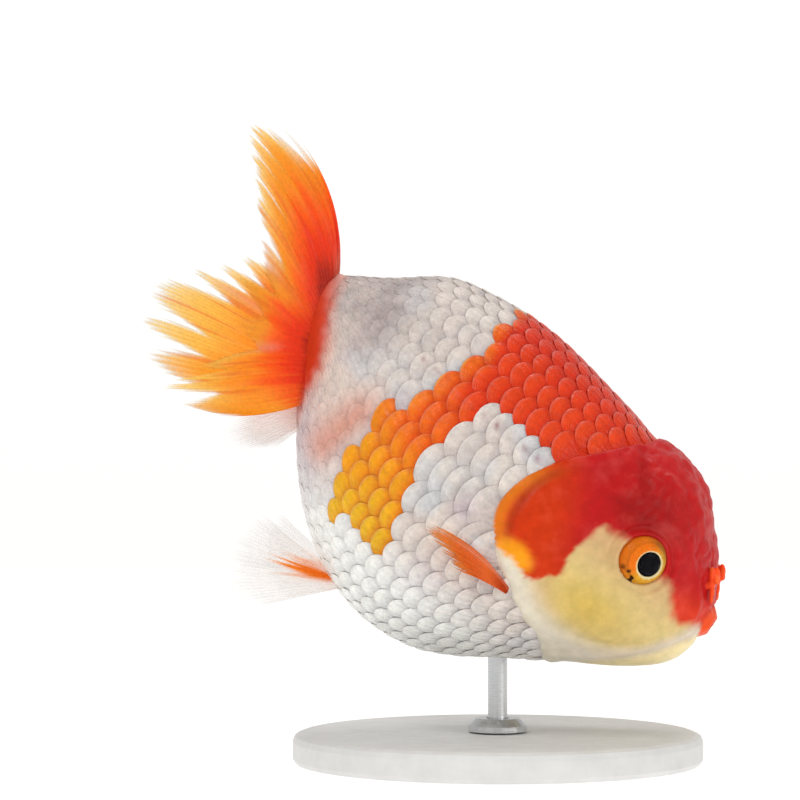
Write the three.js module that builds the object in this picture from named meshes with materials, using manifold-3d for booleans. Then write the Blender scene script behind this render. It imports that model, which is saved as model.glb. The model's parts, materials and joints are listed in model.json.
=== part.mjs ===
// A still, life-size goldfish of the round, hooded, double-tailed kind, held nose down on a display stand.
// Units are millimetres and +Z is up. The origin is the centre of the stand's underside.
//
// The fish is modelled level, in its own frame: x runs from the tail base (0) to the snout (100), y to its
// left and z to its back. One group then tips it nose down over the stand.

import * as THREE from 'three';
import { mergeVertices } from 'three/addons/utils/BufferGeometryUtils.js';
import Module from 'manifold-3d';

const wasm = await Module();
wasm.setup();

// ---- Driving dimensions ----------------------------------------------------------------------------------

const GAP = 0.35;                  // the thin cut between pieces that meet
const SLANT_GAP = 0.48;            // the same for edges that slant to the way in which they are moved
const PITCH = 37.5;                // degrees, nose down
const TAIL_BASE = [-36, 0, 88.5];  // where the level frame's origin stands over the stand

// Limits outside the whole fish, in its own frame, where the cuts through it end.
const AHEAD = 110;
const BEHIND = -30;
const ABOVE = 40;
const BELOW = -45;
const BESIDE = 60;

// Key sections of the body: x, height of the back, height of the belly, half width, height of the widest
// level, and how square the section is (2 is an ellipse).
const SECTIONS = [
  [-6.4, 8.2, 3.4, 1.0, 5.8, 2.0],
  [-5.2, 11.0, -1.5, 3.0, 4.5, 2.0],
  [-2.0, 13.6, -7.6, 5.2, 3.0, 2.0],
  [2.0, 16.2, -13.4, 7.4, 1.5, 2.0],
  [7.0, 19.8, -20.0, 10.6, -1.0, 2.0],
  [13.0, 23.6, -27.2, 15.0, -4.0, 2.0],
  [21.0, 27.0, -34.2, 19.6, -7.0, 2.05],
  [31.0, 28.8, -39.6, 23.4, -9.0, 2.1],
  [43.0, 28.6, -42.0, 25.6, -9.5, 2.15],
  [54.0, 27.0, -40.6, 26.0, -9.0, 2.2],
  [62.0, 25.7, -36.8, 25.2, -8.0, 2.2],
  [67.5, 24.4, -33.0, 24.2, -7.0, 2.3],
  [72.0, 25.2, -29.6, 23.6, -6.0, 2.4],
  [77.0, 24.8, -26.2, 22.4, -5.0, 2.45],
  [82.6, 22.2, -22.6, 20.2, -4.0, 2.45],
  [88.2, 17.6, -18.8, 17.4, -3.6, 2.4],
  [93.0, 12.4, -15.2, 13.8, -3.2, 2.3],
  [96.8, 7.2, -11.6, 9.8, -2.8, 2.2],
  [99.0, 2.6, -7.6, 5.6, -2.5, 2.1],
  [99.7, -2.3, -2.7, 0.2, -2.5, 2.0],
];
const RINGS_PER_SECTION = 2;
const SIDES = 28;
const TAIL_END = 0.2;              // how far the pole behind the first section lies
const SNOUT_END = 0.1;             // and the one before the last section

// Side views of the cuts, as [x, z]. The head's rear edge is the nape, the gill cover's rim and the throat.
const HEAD_EDGE = [[69, ABOVE], [67.5, 24], [62, 16.5], [56, 8.5], [52.6, 0.5], [53, -6], [56.5, -11.5],
  [62, -16.5], [69, -21], [78, -26], [84, BELOW]];
const COVER_EDGE = HEAD_EDGE.slice(2, -2).map(([x, z]) => [x - 1, z]);
const COVER_FRONT = [[74.5, -17], [77, -9], [76.5, 0], [73.5, 7.5], [69, 13.5], [64, 16.5]];
const COVER_DEPTH = 11;            // the gill covers are cut this far out from the middle plane
const HOOD_EDGE = [[65, ABOVE], [66, 17], [73, 13], [84, 12.6], [91, 9.5], [AHEAD, 9.5], [AHEAD, ABOVE]];
const JAW_EDGE = [[AHEAD, -2.6], [96, -3.6], [89, -11], [82, -16], [76, -32], [AHEAD, BELOW]];
const PEDUNCLE_EDGE = [[7.5, ABOVE], [8.5, 0], [10.5, BELOW]];

const EYE = { centre: [81.1, 16.8, 3.8], radius: 6.0 };
const MOUTH = { centre: [100.2, 0, -2.8], half: [4.2, 4.6, 1.1] };

// The fleshy flap at each nostril: lobes on a face that slopes by an angle, each set out from it, across
// it away from the middle, and up along it, with its size in radii.
const NOSE_FLAP = {
  foot: [95.5, 8.4, 6.0], radius: 1.4, face: 37.5,
  lobes: [
    { out: 0.6, across: 0, up: 0, size: [1.6, 0.8, 0.9] },
    { out: 1.8, across: 0.4, up: 1.9, size: [0.9, 0.8, 1.9] },
    { out: 1.3, across: -0.5, up: 2.8, size: [0.8, 0.8, 1.4] },
  ],
};

// Fins. Each is a fan of rays on the fish's left side, given at even steps across the fan: the heading at the
// root in degrees, from straight tailwards up towards the back, how far the ray turns along its length, how
// far it leans outwards, and its length.
const FIN_THICKNESS = { root: 1.2, tip: 0.6 };
const FIN_CLEARANCE = 0.5;         // across the fish, from the skin to where a fin starts
const PECTORAL = {
  from: [62.4, 24.9, -13.0], to: [63.6, 24.3, -16.8],
  heading: [18, 12, 5, 0, -5], turn: [-30, -22, -14, -8, -4], lean: [12, 16, 20, 24, 28],
  lengths: [17.5, 18.5, 17, 14, 10.5], cup: 2, steps: [6, 6],
};
const PELVIC = {
  from: [31.8, 5.0, -38.4], to: [35.2, 7.0, -39.6],
  heading: [4, -9, -23, -37, -51], turn: [4, 0, -2, -2, 0], lean: [10, 13, 17, 21, 25],
  lengths: [21, 23.5, 24, 23.5, 20], cup: 2.5, steps: [7, 6],
};
const ANAL = {
  from: [5.0, 1.6, -15.0], to: [7.8, 2.4, -19.6],
  heading: [-56, -62, -68, -74, -80], turn: [-6, -3, 0, 3, 6], lean: [14, 16, 18, 20, 22],
  lengths: [12.5, 15.5, 15, 12.5, 9], cup: 1.2, steps: [5, 5],
};
// The tail: a left and a right half, each a fan with a notch that parts its upper lobe from its lower one. The
// right half's lower lobe is swung down and the left one's trails, as in a turn.
const TAIL = {
  from: [-3.8, 0.9, 10.0], to: [6.4, 6.0, -14.4], cup: 3, fork: 0.45, notch: { depth: 0.28, width: 0.05 },
  split: 0.006,
};
const TAIL_HALVES = {
  right: {
    heading: [60, 56, 47.5, 39, 30, 8, -22, -33, -42, -51, -60],
    turn: [-66, -58, -42, -24, -14, -14, -22, -16, 4, 18, 34],
    lean: [1, 3, 5, 7, 9, 12, 18, 24, 28, 31, 33],
    lengths: [40, 40.4, 38.8, 33.6, 26, 21, 18, 28, 31, 29.5, 21],
  },
  left: {
    heading: [60, 56, 47.5, 39, 30, 12, -1, -8, -14, -22, -31],
    turn: [-66, -58, -42, -24, -14, -12, -10, -8, -6, -3, 0],
    lean: [1, 3, 5, 7, 10, 14, 19, 24, 28, 31, 34],
    lengths: [40, 40.4, 38.8, 33.6, 27, 28.5, 38, 47, 51, 53, 42],
  },
};
const UPPER_LOBE_STEPS = [8, 8];
const LOWER_LOBE_STEPS = [9, 8];

const STAND = {
  radius: 42, thickness: 6, edge: 1.6, rodRadius: 2.0, socketDepth: 4, boreDepth: 9,
  collarRadius: 6, collarHeight: 3, baseSides: 44, collarSides: 22, rodSides: 24,
};

const LOOKS = {
  red: { color: 0xc8261c, roughness: 0.45 },
  cream: { color: 0xdcc67e, roughness: 0.45 },
  white: { color: 0xd9d2cd, roughness: 0.4 },
  orange: { color: 0xf26a18, roughness: 0.5 },
  pale: { color: 0xeee6de, roughness: 0.5 },
  iris: { color: 0xe08a18, roughness: 0.15 },
  base: { color: 0xd8d6d1, roughness: 0.5 },
  steel: { color: 0xb9bcc0, roughness: 0.3, metalness: 1.0 },
};

const radians = THREE.MathUtils.degToRad;

// ---- Solids ----------------------------------------------------------------------------------------------

function solidOf(geometry) {
  const bare = geometry.clone();
  bare.deleteAttribute('normal');
  bare.deleteAttribute('uv');
  const merged = mergeVertices(bare, 1e-5);
  const vertProperties = new Float32Array(merged.attributes.position.array);
  const triVerts = new Uint32Array(merged.index.array);
  return new wasm.Manifold(new wasm.Mesh({ numProp: 3, vertProperties, triVerts }));
}

function geometryOf(solid) {
  const { vertProperties, triVerts, numProp } = solid.getMesh();
  const positions = [];
  for (let i = 0; i < vertProperties.length; i += numProp) {
    positions.push(vertProperties[i], vertProperties[i + 1], vertProperties[i + 2]);
  }
  const geometry = new THREE.BufferGeometry();
  geometry.setAttribute('position', new THREE.Float32BufferAttribute(positions, 3));
  geometry.setIndex(Array.from(triVerts));
  geometry.computeVertexNormals();
  return geometry;
}

function volumeOf(positions, index) {
  const corner = (k) => new THREE.Vector3().fromArray(positions, 3 * k);
  let volume = 0;
  for (let i = 0; i < index.length; i += 3) {
    volume += corner(index[i]).dot(corner(index[i + 1]).cross(corner(index[i + 2]))) / 6;
  }
  return volume;
}

// A solid from a flat list of coordinates and its triangles, turned so that its faces look outwards.
function closed(positions, index) {
  if (volumeOf(positions, index) < 0) {
    index.reverse();
  }
  const geometry = new THREE.BufferGeometry();
  geometry.setAttribute('position', new THREE.Float32BufferAttribute(positions, 3));
  geometry.setIndex(index);
  return solidOf(geometry);
}

// A solid through rings of points that share one count, with a point at each end.
function lofted(rings, first, last) {
  const sides = rings[0].length;
  const tailTip = rings.length * sides;
  const noseTip = tailTip + 1;
  const index = [];
  for (let j = 0; j < sides; j += 1) {
    const k = (j + 1) % sides;
    index.push(tailTip, k, j);
    for (let i = 0; i + 1 < rings.length; i += 1) {
      const a = i * sides + j;
      const b = i * sides + k;
      index.push(a, b, b + sides, a, b + sides, a + sides);
    }
    const end = (rings.length - 1) * sides;
    index.push(end + j, end + k, noseTip);
  }
  return closed([...rings.flat(2), ...first, ...last], index);
}

// A sheet with two faces and a rim round them, from rows of [front, back] pairs of points.
function sheet(rows) {
  const lastRow = rows.length - 1;
  const lastPlace = rows[0].length - 1;
  const at = (row, place, face) => 2 * (row * (lastPlace + 1) + place) + face;
  const index = [];
  const quad = (a, b, c, d) => index.push(a, b, c, a, c, d);
  for (let i = 0; i < lastRow; i += 1) {
    for (let j = 0; j < lastPlace; j += 1) {
      quad(at(i, j, 0), at(i + 1, j, 0), at(i + 1, j + 1, 0), at(i, j + 1, 0));
      quad(at(i, j, 1), at(i, j + 1, 1), at(i + 1, j + 1, 1), at(i + 1, j, 1));
    }
    quad(at(i, 0, 0), at(i, 0, 1), at(i + 1, 0, 1), at(i + 1, 0, 0));
    quad(at(i, lastPlace, 0), at(i + 1, lastPlace, 0), at(i + 1, lastPlace, 1), at(i, lastPlace, 1));
  }
  for (let j = 0; j < lastPlace; j += 1) {
    quad(at(0, j, 0), at(0, j + 1, 0), at(0, j + 1, 1), at(0, j, 1));
    quad(at(lastRow, j, 0), at(lastRow, j, 1), at(lastRow, j + 1, 1), at(lastRow, j + 1, 0));
  }
  return closed(rows.flat(3), index);
}

// A prism over a side view, across the fish from y = near to y = far.
function sidePrism(outline, near, far) {
  const shape = new THREE.Shape(outline.map(([x, z]) => new THREE.Vector2(x, z)));
  const prism = new THREE.ExtrudeGeometry(shape, { depth: far - near, bevelEnabled: false });
  prism.rotateX(Math.PI / 2);
  prism.translate(0, far, 0);
  return solidOf(prism);
}

// ---- Body ------------------------------------------------------------------------------------------------

function catmullRom(a, b, c, d, t) {
  return 0.5 * (2 * b + (c - a) * t + (2 * a - 5 * b + 4 * c - d) * t * t + (3 * b - a - 3 * c + d) * t ** 3);
}

function sectionAt(place) {
  const last = SECTIONS.length - 1;
  const i = Math.min(Math.floor(place), last - 1);
  const rows = [i - 1, i, i + 1, i + 2].map((k) => SECTIONS[Math.min(Math.max(k, 0), last)]);
  return rows[0].map((_, column) => catmullRom(...rows.map((row) => row[column]), place - i));
}

function bodyRing(place, grow) {
  const [x, top, bottom, halfWidth, widest, square] = sectionAt(place);
  const ring = [];
  for (let j = 0; j < SIDES; j += 1) {
    const angle = (2 * Math.PI * j) / SIDES;
    const across = Math.sign(Math.sin(angle)) * Math.abs(Math.sin(angle)) ** (2 / square);
    const up = Math.sign(Math.cos(angle)) * Math.abs(Math.cos(angle)) ** (2 / square);
    const reach = up > 0 ? top - widest + grow : widest - bottom + grow;
    ring.push([x, (halfWidth + grow) * across, widest + reach * up]);
  }
  return ring;
}

function bodySolid(grow = 0) {
  const rings = [];
  const last = SECTIONS.length - 1;
  for (let i = 0; i <= last * RINGS_PER_SECTION; i += 1) {
    rings.push(bodyRing(i / RINGS_PER_SECTION, grow));
  }
  const [tail, , , , tailLevel] = SECTIONS[0];
  const [nose, , , , noseLevel] = SECTIONS[last];
  const tailPole = [tail - TAIL_END - grow, 0, tailLevel];
  const nosePole = [nose + SNOUT_END + grow, 0, noseLevel];
  return lofted(rings, tailPole, nosePole);
}

// Whether a point lies outside the body's skin, with a margin measured across the fish.
function outsideBody([x, y, z], margin) {
  let low = 0;
  let high = SECTIONS.length - 1;
  if (x < sectionAt(low)[0] || x > sectionAt(high)[0]) {
    return true;
  }
  while (high - low > 0.001) {
    const middle = (low + high) / 2;
    if (sectionAt(middle)[0] < x) {
      low = middle;
    } else {
      high = middle;
    }
  }
  const [, top, bottom, halfWidth, widest, square] = sectionAt(low);
  const reach = z > widest ? top - widest : widest - bottom;
  const across = Math.abs(y) / (halfWidth + margin);
  const up = Math.abs(z - widest) / (reach + margin);
  return across ** square + up ** square > 1;
}

function eyeball(side, grow = 0) {
  const ball = new THREE.SphereGeometry(EYE.radius + grow, 16, 10);
  const [x, y, z] = EYE.centre;
  return solidOf(ball.translate(x, side * y, z));
}

function mouthSlot() {
  const slot = new THREE.SphereGeometry(1, 10, 6).scale(...MOUTH.half);
  return solidOf(slot.translate(...MOUTH.centre));
}

function noseFlap(side) {
  const { foot, radius, face, lobes } = NOSE_FLAP;
  const solids = lobes.map(({ out, across, up, size }) => {
    const lobe = new THREE.SphereGeometry(radius, 8, 5).scale(...size);
    lobe.translate(out, side * across, up).rotateY(-radians(face));
    return solidOf(lobe.translate(foot[0], side * foot[1], foot[2]));
  });
  return solids.reduce((whole, lobe) => whole.add(lobe));
}

// ---- Fins ------------------------------------------------------------------------------------------------

function along(values, t) {
  const place = t * (values.length - 1);
  const i = Math.min(Math.floor(place), values.length - 2);
  const at = (k) => values[Math.min(Math.max(k, 0), values.length - 1)];
  return catmullRom(at(i - 1), at(i), at(i + 1), at(i + 2), place - i);
}

// How much of its length a ray keeps beside the notch of a forked fin.
function notchAt({ fork, notch }, t) {
  return notch ? 1 - notch.depth * Math.exp(-(((t - fork) / notch.width) ** 2)) : 1;
}

// The point a share u along the ray that is a share t across the fin, on the fish's left side.
function finPoint(fin, t, u) {
  const length = along(fin.lengths, t) * notchAt(fin, t);
  const lean = radians(along(fin.lean, t));
  const point = new THREE.Vector3(...fin.from).lerp(new THREE.Vector3(...fin.to), t);
  const turns = 8;
  for (let i = 0; i < turns; i += 1) {
    const share = (u * (i + 0.5)) / turns;
    const heading = radians(along(fin.heading, t) + along(fin.turn, t) * share);
    const step = (length * u) / turns;
    point.x -= step * Math.cos(heading) * Math.cos(lean);
    point.y += step * Math.sin(lean);
    point.z += step * Math.sin(heading) * Math.cos(lean);
  }
  point.y += fin.cup * u * u * Math.sin(Math.PI * t);
  return point;
}

// Which way the fin's left face looks, at the point a share t across the fin and u along its ray.
function finFace(fin, t, u) {
  const near = 0.02;
  const across = finPoint(fin, Math.min(t + near, 1), u).sub(finPoint(fin, Math.max(t - near, 0), u));
  const outwards = finPoint(fin, t, Math.min(u + near, 1)).sub(finPoint(fin, t, Math.max(u - near, 0)));
  return outwards.cross(across).normalize();
}

// The two points of a fin's faces, front and back, on its left side or its right.
function finPair(fin, side, t, u) {
  const point = finPoint(fin, t, u);
  const half = THREE.MathUtils.lerp(FIN_THICKNESS.root, FIN_THICKNESS.tip, u) / 2;
  const out = finFace(fin, t, u).multiplyScalar(half);
  const faces = [point.clone().add(out), point.clone().sub(out)];
  return faces.map((p) => [p.x, side * p.y, p.z]);
}

// The share of a ray at which both faces of the fin have come out of the body.
function finStart(fin, t) {
  const steps = 200;
  for (let i = 0; i < steps; i += 1) {
    const pair = finPair(fin, 1, t, i / steps);
    if (pair.every((point) => outsideBody(point, FIN_CLEARANCE))) {
      return i / steps;
    }
  }
  return 1;
}

// The part of a fin from the ray a share first across it to the one at last.
function finSolid(fin, side, [acrossSteps, alongSteps] = fin.steps, first = 0, last = 1) {
  const rows = [];
  for (let i = 0; i <= acrossSteps; i += 1) {
    const t = THREE.MathUtils.lerp(first, last, i / acrossSteps);
    const start = finStart(fin, t);
    const row = [];
    for (let j = 0; j <= alongSteps; j += 1) {
      row.push(finPair(fin, side, t, THREE.MathUtils.lerp(start, 1, j / alongSteps)));
    }
    rows.push(row);
  }
  return sheet(rows);
}

// ---- Assembly --------------------------------------------------------------------------------------------

const group = new THREE.Group();
const fish = new THREE.Group();
fish.rotation.y = radians(PITCH);
fish.position.set(...TAIL_BASE);
fish.updateMatrixWorld();
group.add(fish);

function addNode(parent, name, geometry, look) {
  const mesh = new THREE.Mesh(geometry, new THREE.MeshStandardMaterial(LOOKS[look]));
  mesh.name = name;
  parent.add(mesh);
}

const SIDE_NAMES = [['left', 1], ['right', -1]];

function rodSolid(grow) {
  const radius = STAND.rodRadius + grow;
  const foot = STAND.thickness - STAND.socketDepth + GAP;
  const top = rodTop() + grow;
  const rod = new THREE.CylinderGeometry(radius, radius, top - foot, STAND.rodSides);
  rod.rotateX(Math.PI / 2);
  rod.translate(0, 0, (top + foot) / 2);
  return rod;
}

// The rod stops inside a blind bore in the belly, right above the centre of the stand.
function rodTop() {
  const ray = new THREE.Raycaster(new THREE.Vector3(0, 0, 0), new THREE.Vector3(0, 0, 1));
  const skin = new THREE.Mesh(geometryOf(bodySolid()).applyMatrix4(fish.matrixWorld));
  return ray.intersectObject(skin)[0].point.z + STAND.boreDepth;
}

// Moves the cut that ends a region back from it, so that a thin gap is left between the two pieces.
function shifted(edge, x, z = 0) {
  return edge.map(([px, pz]) => [px + x, pz + z]);
}

function buildBody() {
  const front = [[AHEAD, BELOW], [AHEAD, ABOVE]];
  const back = [[BEHIND, BELOW], [BEHIND, ABOVE]];
  const headRegion = sidePrism([...HEAD_EDGE, ...front], -BESIDE, BESIDE);
  const headClear = sidePrism([...shifted(HEAD_EDGE, -SLANT_GAP), ...front], -BESIDE, BESIDE);
  const tailRegion = sidePrism([...PEDUNCLE_EDGE, ...back], -BESIDE, BESIDE);
  const tailClear = sidePrism([...shifted(PEDUNCLE_EDGE, GAP), ...back], -BESIDE, BESIDE);
  const bore = solidOf(rodSolid(GAP).applyMatrix4(fish.matrixWorld.clone().invert()));

  const body = bodySolid();
  const trunk = body.subtract(headClear).subtract(tailClear).subtract(bore);
  addNode(fish, 'trunk', geometryOf(trunk), 'white');
  addNode(fish, 'tail_base', geometryOf(body.intersect(tailRegion)), 'white');
  buildHead(body.intersect(headRegion));
}

// An outline pushed away from its own middle.
function grownOutline(outline, amount) {
  const middle = [0, 1].map((k) => outline.reduce((sum, p) => sum + p[k], 0) / outline.length);
  return outline.map((p) => {
    const away = Math.hypot(p[0] - middle[0], p[1] - middle[1]);
    return p.map((v, k) => middle[k] + (v - middle[k]) * (1 + amount / away));
  });
}

function buildHead(whole) {
  let head = whole.subtract(mouthSlot());
  for (const [, side] of SIDE_NAMES) {
    head = head.subtract(eyeball(side, GAP));
  }
  for (const [name, side] of SIDE_NAMES) {
    head = buildGillCover(head, name, side);
    addNode(fish, `eye_${name}`, geometryOf(eyeball(side)), 'iris');
    addNode(fish, `nose_flap_${name}`, geometryOf(noseFlap(side).subtract(bodySolid(GAP))), 'orange');
  }
  const hood = sidePrism(HOOD_EDGE, -BESIDE, BESIDE);
  const hoodClear = sidePrism(HOOD_EDGE.map(([x, z]) => [x, z < ABOVE ? z - GAP : z]), -BESIDE, BESIDE);
  const jaw = sidePrism(JAW_EDGE, -BESIDE, BESIDE);
  const jawClear = sidePrism(shifted(JAW_EDGE, -GAP * 0.8, GAP * 0.8), -BESIDE, BESIDE);
  addNode(fish, 'hood', geometryOf(head.intersect(hood)), 'red');
  addNode(fish, 'lower_jaw', geometryOf(head.intersect(jaw)), 'cream');
  addNode(fish, 'head', geometryOf(head.subtract(hoodClear).subtract(jawClear)), 'cream');
}

// Takes one side's gill cover out of the head, as a node of its own, and gives back what is left.
function buildGillCover(head, name, side) {
  const outline = [...COVER_EDGE, ...COVER_FRONT];
  const between = (depth) => (side > 0 ? [depth, BESIDE] : [-BESIDE, -depth]);
  const cover = sidePrism(outline, ...between(COVER_DEPTH));
  const clear = sidePrism(grownOutline(outline, SLANT_GAP), ...between(COVER_DEPTH - GAP));
  addNode(fish, `gill_cover_${name}`, geometryOf(head.intersect(cover)), 'red');
  return head.subtract(clear);
}

function buildFins() {
  for (const [name, side] of SIDE_NAMES) {
    addNode(fish, `pectoral_fin_${name}`, geometryOf(finSolid(PECTORAL, side)), 'orange');
    addNode(fish, `pelvic_fin_${name}`, geometryOf(finSolid(PELVIC, side)), 'pale');
    addNode(fish, `anal_fin_${name}`, geometryOf(finSolid(ANAL, side)), 'pale');
    const half = { ...TAIL, ...TAIL_HALVES[name] };
    const upper = finSolid(half, side, UPPER_LOBE_STEPS, 0, TAIL.fork - TAIL.split);
    const lower = finSolid(half, side, LOWER_LOBE_STEPS, TAIL.fork + TAIL.split, 1);
    addNode(fish, `tail_upper_${name}`, geometryOf(upper), 'orange');
    addNode(fish, `tail_lower_${name}`, geometryOf(lower), 'orange');
  }
}

// A turned piece about the upright axis, from a profile of [radius, height].
function turned(profile, sides) {
  const lathe = new THREE.LatheGeometry(profile.map(([r, z]) => new THREE.Vector2(r, z)), sides);
  return geometryOf(solidOf(lathe.rotateX(Math.PI / 2)));
}

function buildStand() {
  const { radius, thickness, edge, rodRadius, socketDepth, collarRadius, collarHeight } = STAND;
  const socket = rodRadius + GAP;
  const collarFoot = thickness + GAP;
  const base = turned([
    [0, 0], [radius - edge * 0.4, 0], [radius, edge * 0.6], [radius, thickness - edge],
    [radius - edge * 0.3, thickness - edge * 0.3], [radius - edge, thickness],
    [socket, thickness], [socket, thickness - socketDepth], [0, thickness - socketDepth],
  ], STAND.baseSides);
  const collar = turned([
    [socket, collarFoot], [collarRadius, collarFoot], [collarRadius, thickness + collarHeight * 0.5],
    [collarRadius * 0.75, thickness + collarHeight], [socket, thickness + collarHeight], [socket, collarFoot],
  ], STAND.collarSides);
  addNode(group, 'stand_base', base, 'base');
  addNode(group, 'stand_collar', collar, 'steel');
  addNode(group, 'stand_rod', geometryOf(solidOf(rodSolid(0))), 'steel');
}

buildBody();
buildFins();
buildStand();

export default group;
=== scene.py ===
"""A goldfish of the round, hooded, double-tailed kind, as a life-size still model on a display stand.

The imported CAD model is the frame. One skin takes the place of its flesh nodes, rayed membranes that of its
fins and balls under clear domes that of its eyes, and the body carries a coat of separate scales. The shapes
are worked out in the fish's own frame, in millimetres: x runs from the tail base to the snout, y to the
fish's left and z to its back.
"""

import json
import math

import bpy
import numpy as np
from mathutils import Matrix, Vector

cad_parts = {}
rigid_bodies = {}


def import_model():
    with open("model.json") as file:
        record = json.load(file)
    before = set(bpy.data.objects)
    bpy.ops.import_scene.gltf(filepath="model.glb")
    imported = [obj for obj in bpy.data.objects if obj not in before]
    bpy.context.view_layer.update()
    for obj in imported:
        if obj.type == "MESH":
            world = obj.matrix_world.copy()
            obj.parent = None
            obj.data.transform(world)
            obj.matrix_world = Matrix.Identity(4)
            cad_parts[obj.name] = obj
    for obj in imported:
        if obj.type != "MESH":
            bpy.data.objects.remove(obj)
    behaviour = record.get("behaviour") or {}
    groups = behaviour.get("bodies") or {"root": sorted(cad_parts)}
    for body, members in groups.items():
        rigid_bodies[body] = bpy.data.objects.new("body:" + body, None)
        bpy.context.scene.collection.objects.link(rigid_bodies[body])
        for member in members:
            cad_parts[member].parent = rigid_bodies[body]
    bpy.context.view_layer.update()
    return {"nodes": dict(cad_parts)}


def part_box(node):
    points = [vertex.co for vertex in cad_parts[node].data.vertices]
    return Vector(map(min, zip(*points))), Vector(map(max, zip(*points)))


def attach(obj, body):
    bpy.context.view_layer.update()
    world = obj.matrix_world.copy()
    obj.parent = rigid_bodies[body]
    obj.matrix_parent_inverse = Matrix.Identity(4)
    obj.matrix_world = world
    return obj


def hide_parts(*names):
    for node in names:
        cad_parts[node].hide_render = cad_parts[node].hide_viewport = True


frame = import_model()

MM = 0.001
PITCH = math.radians(37.5)

# The body's key sections, as in the CAD model: x, height of the back, height of the belly, half width, height
# of the widest level, and how square the section is (2 is an ellipse).
SECTIONS = np.array([
    [-6.4, 8.2, 3.4, 1.0, 5.8, 2.0],
    [-5.2, 11.0, -1.5, 3.0, 4.5, 2.0],
    [-2.0, 13.6, -7.6, 5.2, 3.0, 2.0],
    [2.0, 16.2, -13.4, 7.4, 1.5, 2.0],
    [7.0, 19.8, -20.0, 10.6, -1.0, 2.0],
    [13.0, 23.6, -27.2, 15.0, -4.0, 2.0],
    [21.0, 27.0, -34.2, 19.6, -7.0, 2.05],
    [31.0, 28.8, -39.6, 23.4, -9.0, 2.1],
    [43.0, 28.6, -42.0, 25.6, -9.5, 2.15],
    [54.0, 27.0, -40.6, 26.0, -9.0, 2.2],
    [62.0, 25.7, -36.8, 25.2, -8.0, 2.2],
    [67.5, 24.4, -33.0, 24.2, -7.0, 2.3],
    [72.0, 25.2, -29.6, 23.6, -6.0, 2.4],
    [77.0, 24.8, -26.2, 22.4, -5.0, 2.45],
    [82.6, 22.2, -22.6, 20.2, -4.0, 2.45],
    [88.2, 17.6, -18.8, 17.4, -3.6, 2.4],
    [93.0, 12.4, -15.2, 13.8, -3.2, 2.3],
    [96.8, 7.2, -11.6, 9.8, -2.8, 2.2],
    [99.0, 2.6, -7.6, 5.6, -2.5, 2.1],
    [99.7, -2.3, -2.7, 0.2, -2.5, 2.0],
])
LAST_PLACE = len(SECTIONS) - 1

CAD_EYE = np.array([81.1, 16.8, 3.8])
EYE_CENTRE = np.array([80.9, 16.6, 4.4])

# How deep the layers lie under the CAD model's surface, and how far all of it is lowered to leave the relief
# some room.
SKIN_DEPTH = 1.05
SCALE_DEPTH = 0.3
HEAD_DEPTH = 0.1
LOWERED = 0.25

SIDES = (("left", 1.0), ("right", -1.0))


# ---- Numbers and noise ----

def smooth(low, high, value):
    """0 below low, 1 above high and a smooth slope between."""
    share = np.clip((value - low) / (high - low), 0.0, 1.0)
    return share * share * (3.0 - 2.0 * share)


def mix(a, b, share):
    """From a to b by a share."""
    return a + (b - a) * share


def catmull_rom(a, b, c, d, t):
    """A smooth run from b to c, with a before them and d after them."""
    return 0.5 * (2 * b + (c - a) * t + (2 * a - 5 * b + 4 * c - d) * t**2 + (3 * b - a - 3 * c + d) * t**3)


def bell(value, width):
    """1 where the value is 0, falling away smoothly on both sides."""
    return np.exp(-((value / width) ** 2))


def hash_unit(*whole):
    """A repeatable number from 0 to 1 for each set of whole numbers."""
    seed = np.zeros(np.broadcast(*whole).shape, dtype=np.uint64)
    for number, factor in zip(whole, (374761393, 668265263, 2147483647, 1274126177)):
        seed += (np.asarray(number).astype(np.int64) & 0xFFFFFFFF).astype(np.uint64) * np.uint64(factor)
    seed = (seed ^ (seed >> np.uint64(13))) * np.uint64(1274126177)
    seed &= np.uint64(0xFFFFFFFF)
    seed = (seed ^ (seed >> np.uint64(16))) * np.uint64(2246822519)
    seed &= np.uint64(0xFFFFFFFF)
    return (seed ^ (seed >> np.uint64(15))).astype(float) / 0xFFFFFFFF


def noise(points, size, seed=0):
    """Smooth value noise from -1 to 1 over points, with lumps about size across."""
    scaled = np.asarray(points, dtype=float) / size + 1000.0
    cell = np.floor(scaled).astype(int)
    share = scaled - cell
    share = share * share * (3.0 - 2.0 * share)
    total = np.zeros(len(scaled))
    for corner in range(8):
        step = np.array([corner & 1, corner >> 1 & 1, corner >> 2 & 1])
        weight = np.prod(np.where(step, share, 1.0 - share), axis=1)
        total += weight * hash_unit(*(cell + step).T, seed)
    return 2.0 * total - 1.0


def layered_noise(points, size, seed=0, layers=3):
    """Noise with finer and weaker layers on it."""
    total = np.zeros(len(points))
    for layer in range(layers):
        total += noise(points, size / 2**layer, seed + 17 * layer) / 2**layer
    return total / (2.0 - 0.5 ** (layers - 1))


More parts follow.
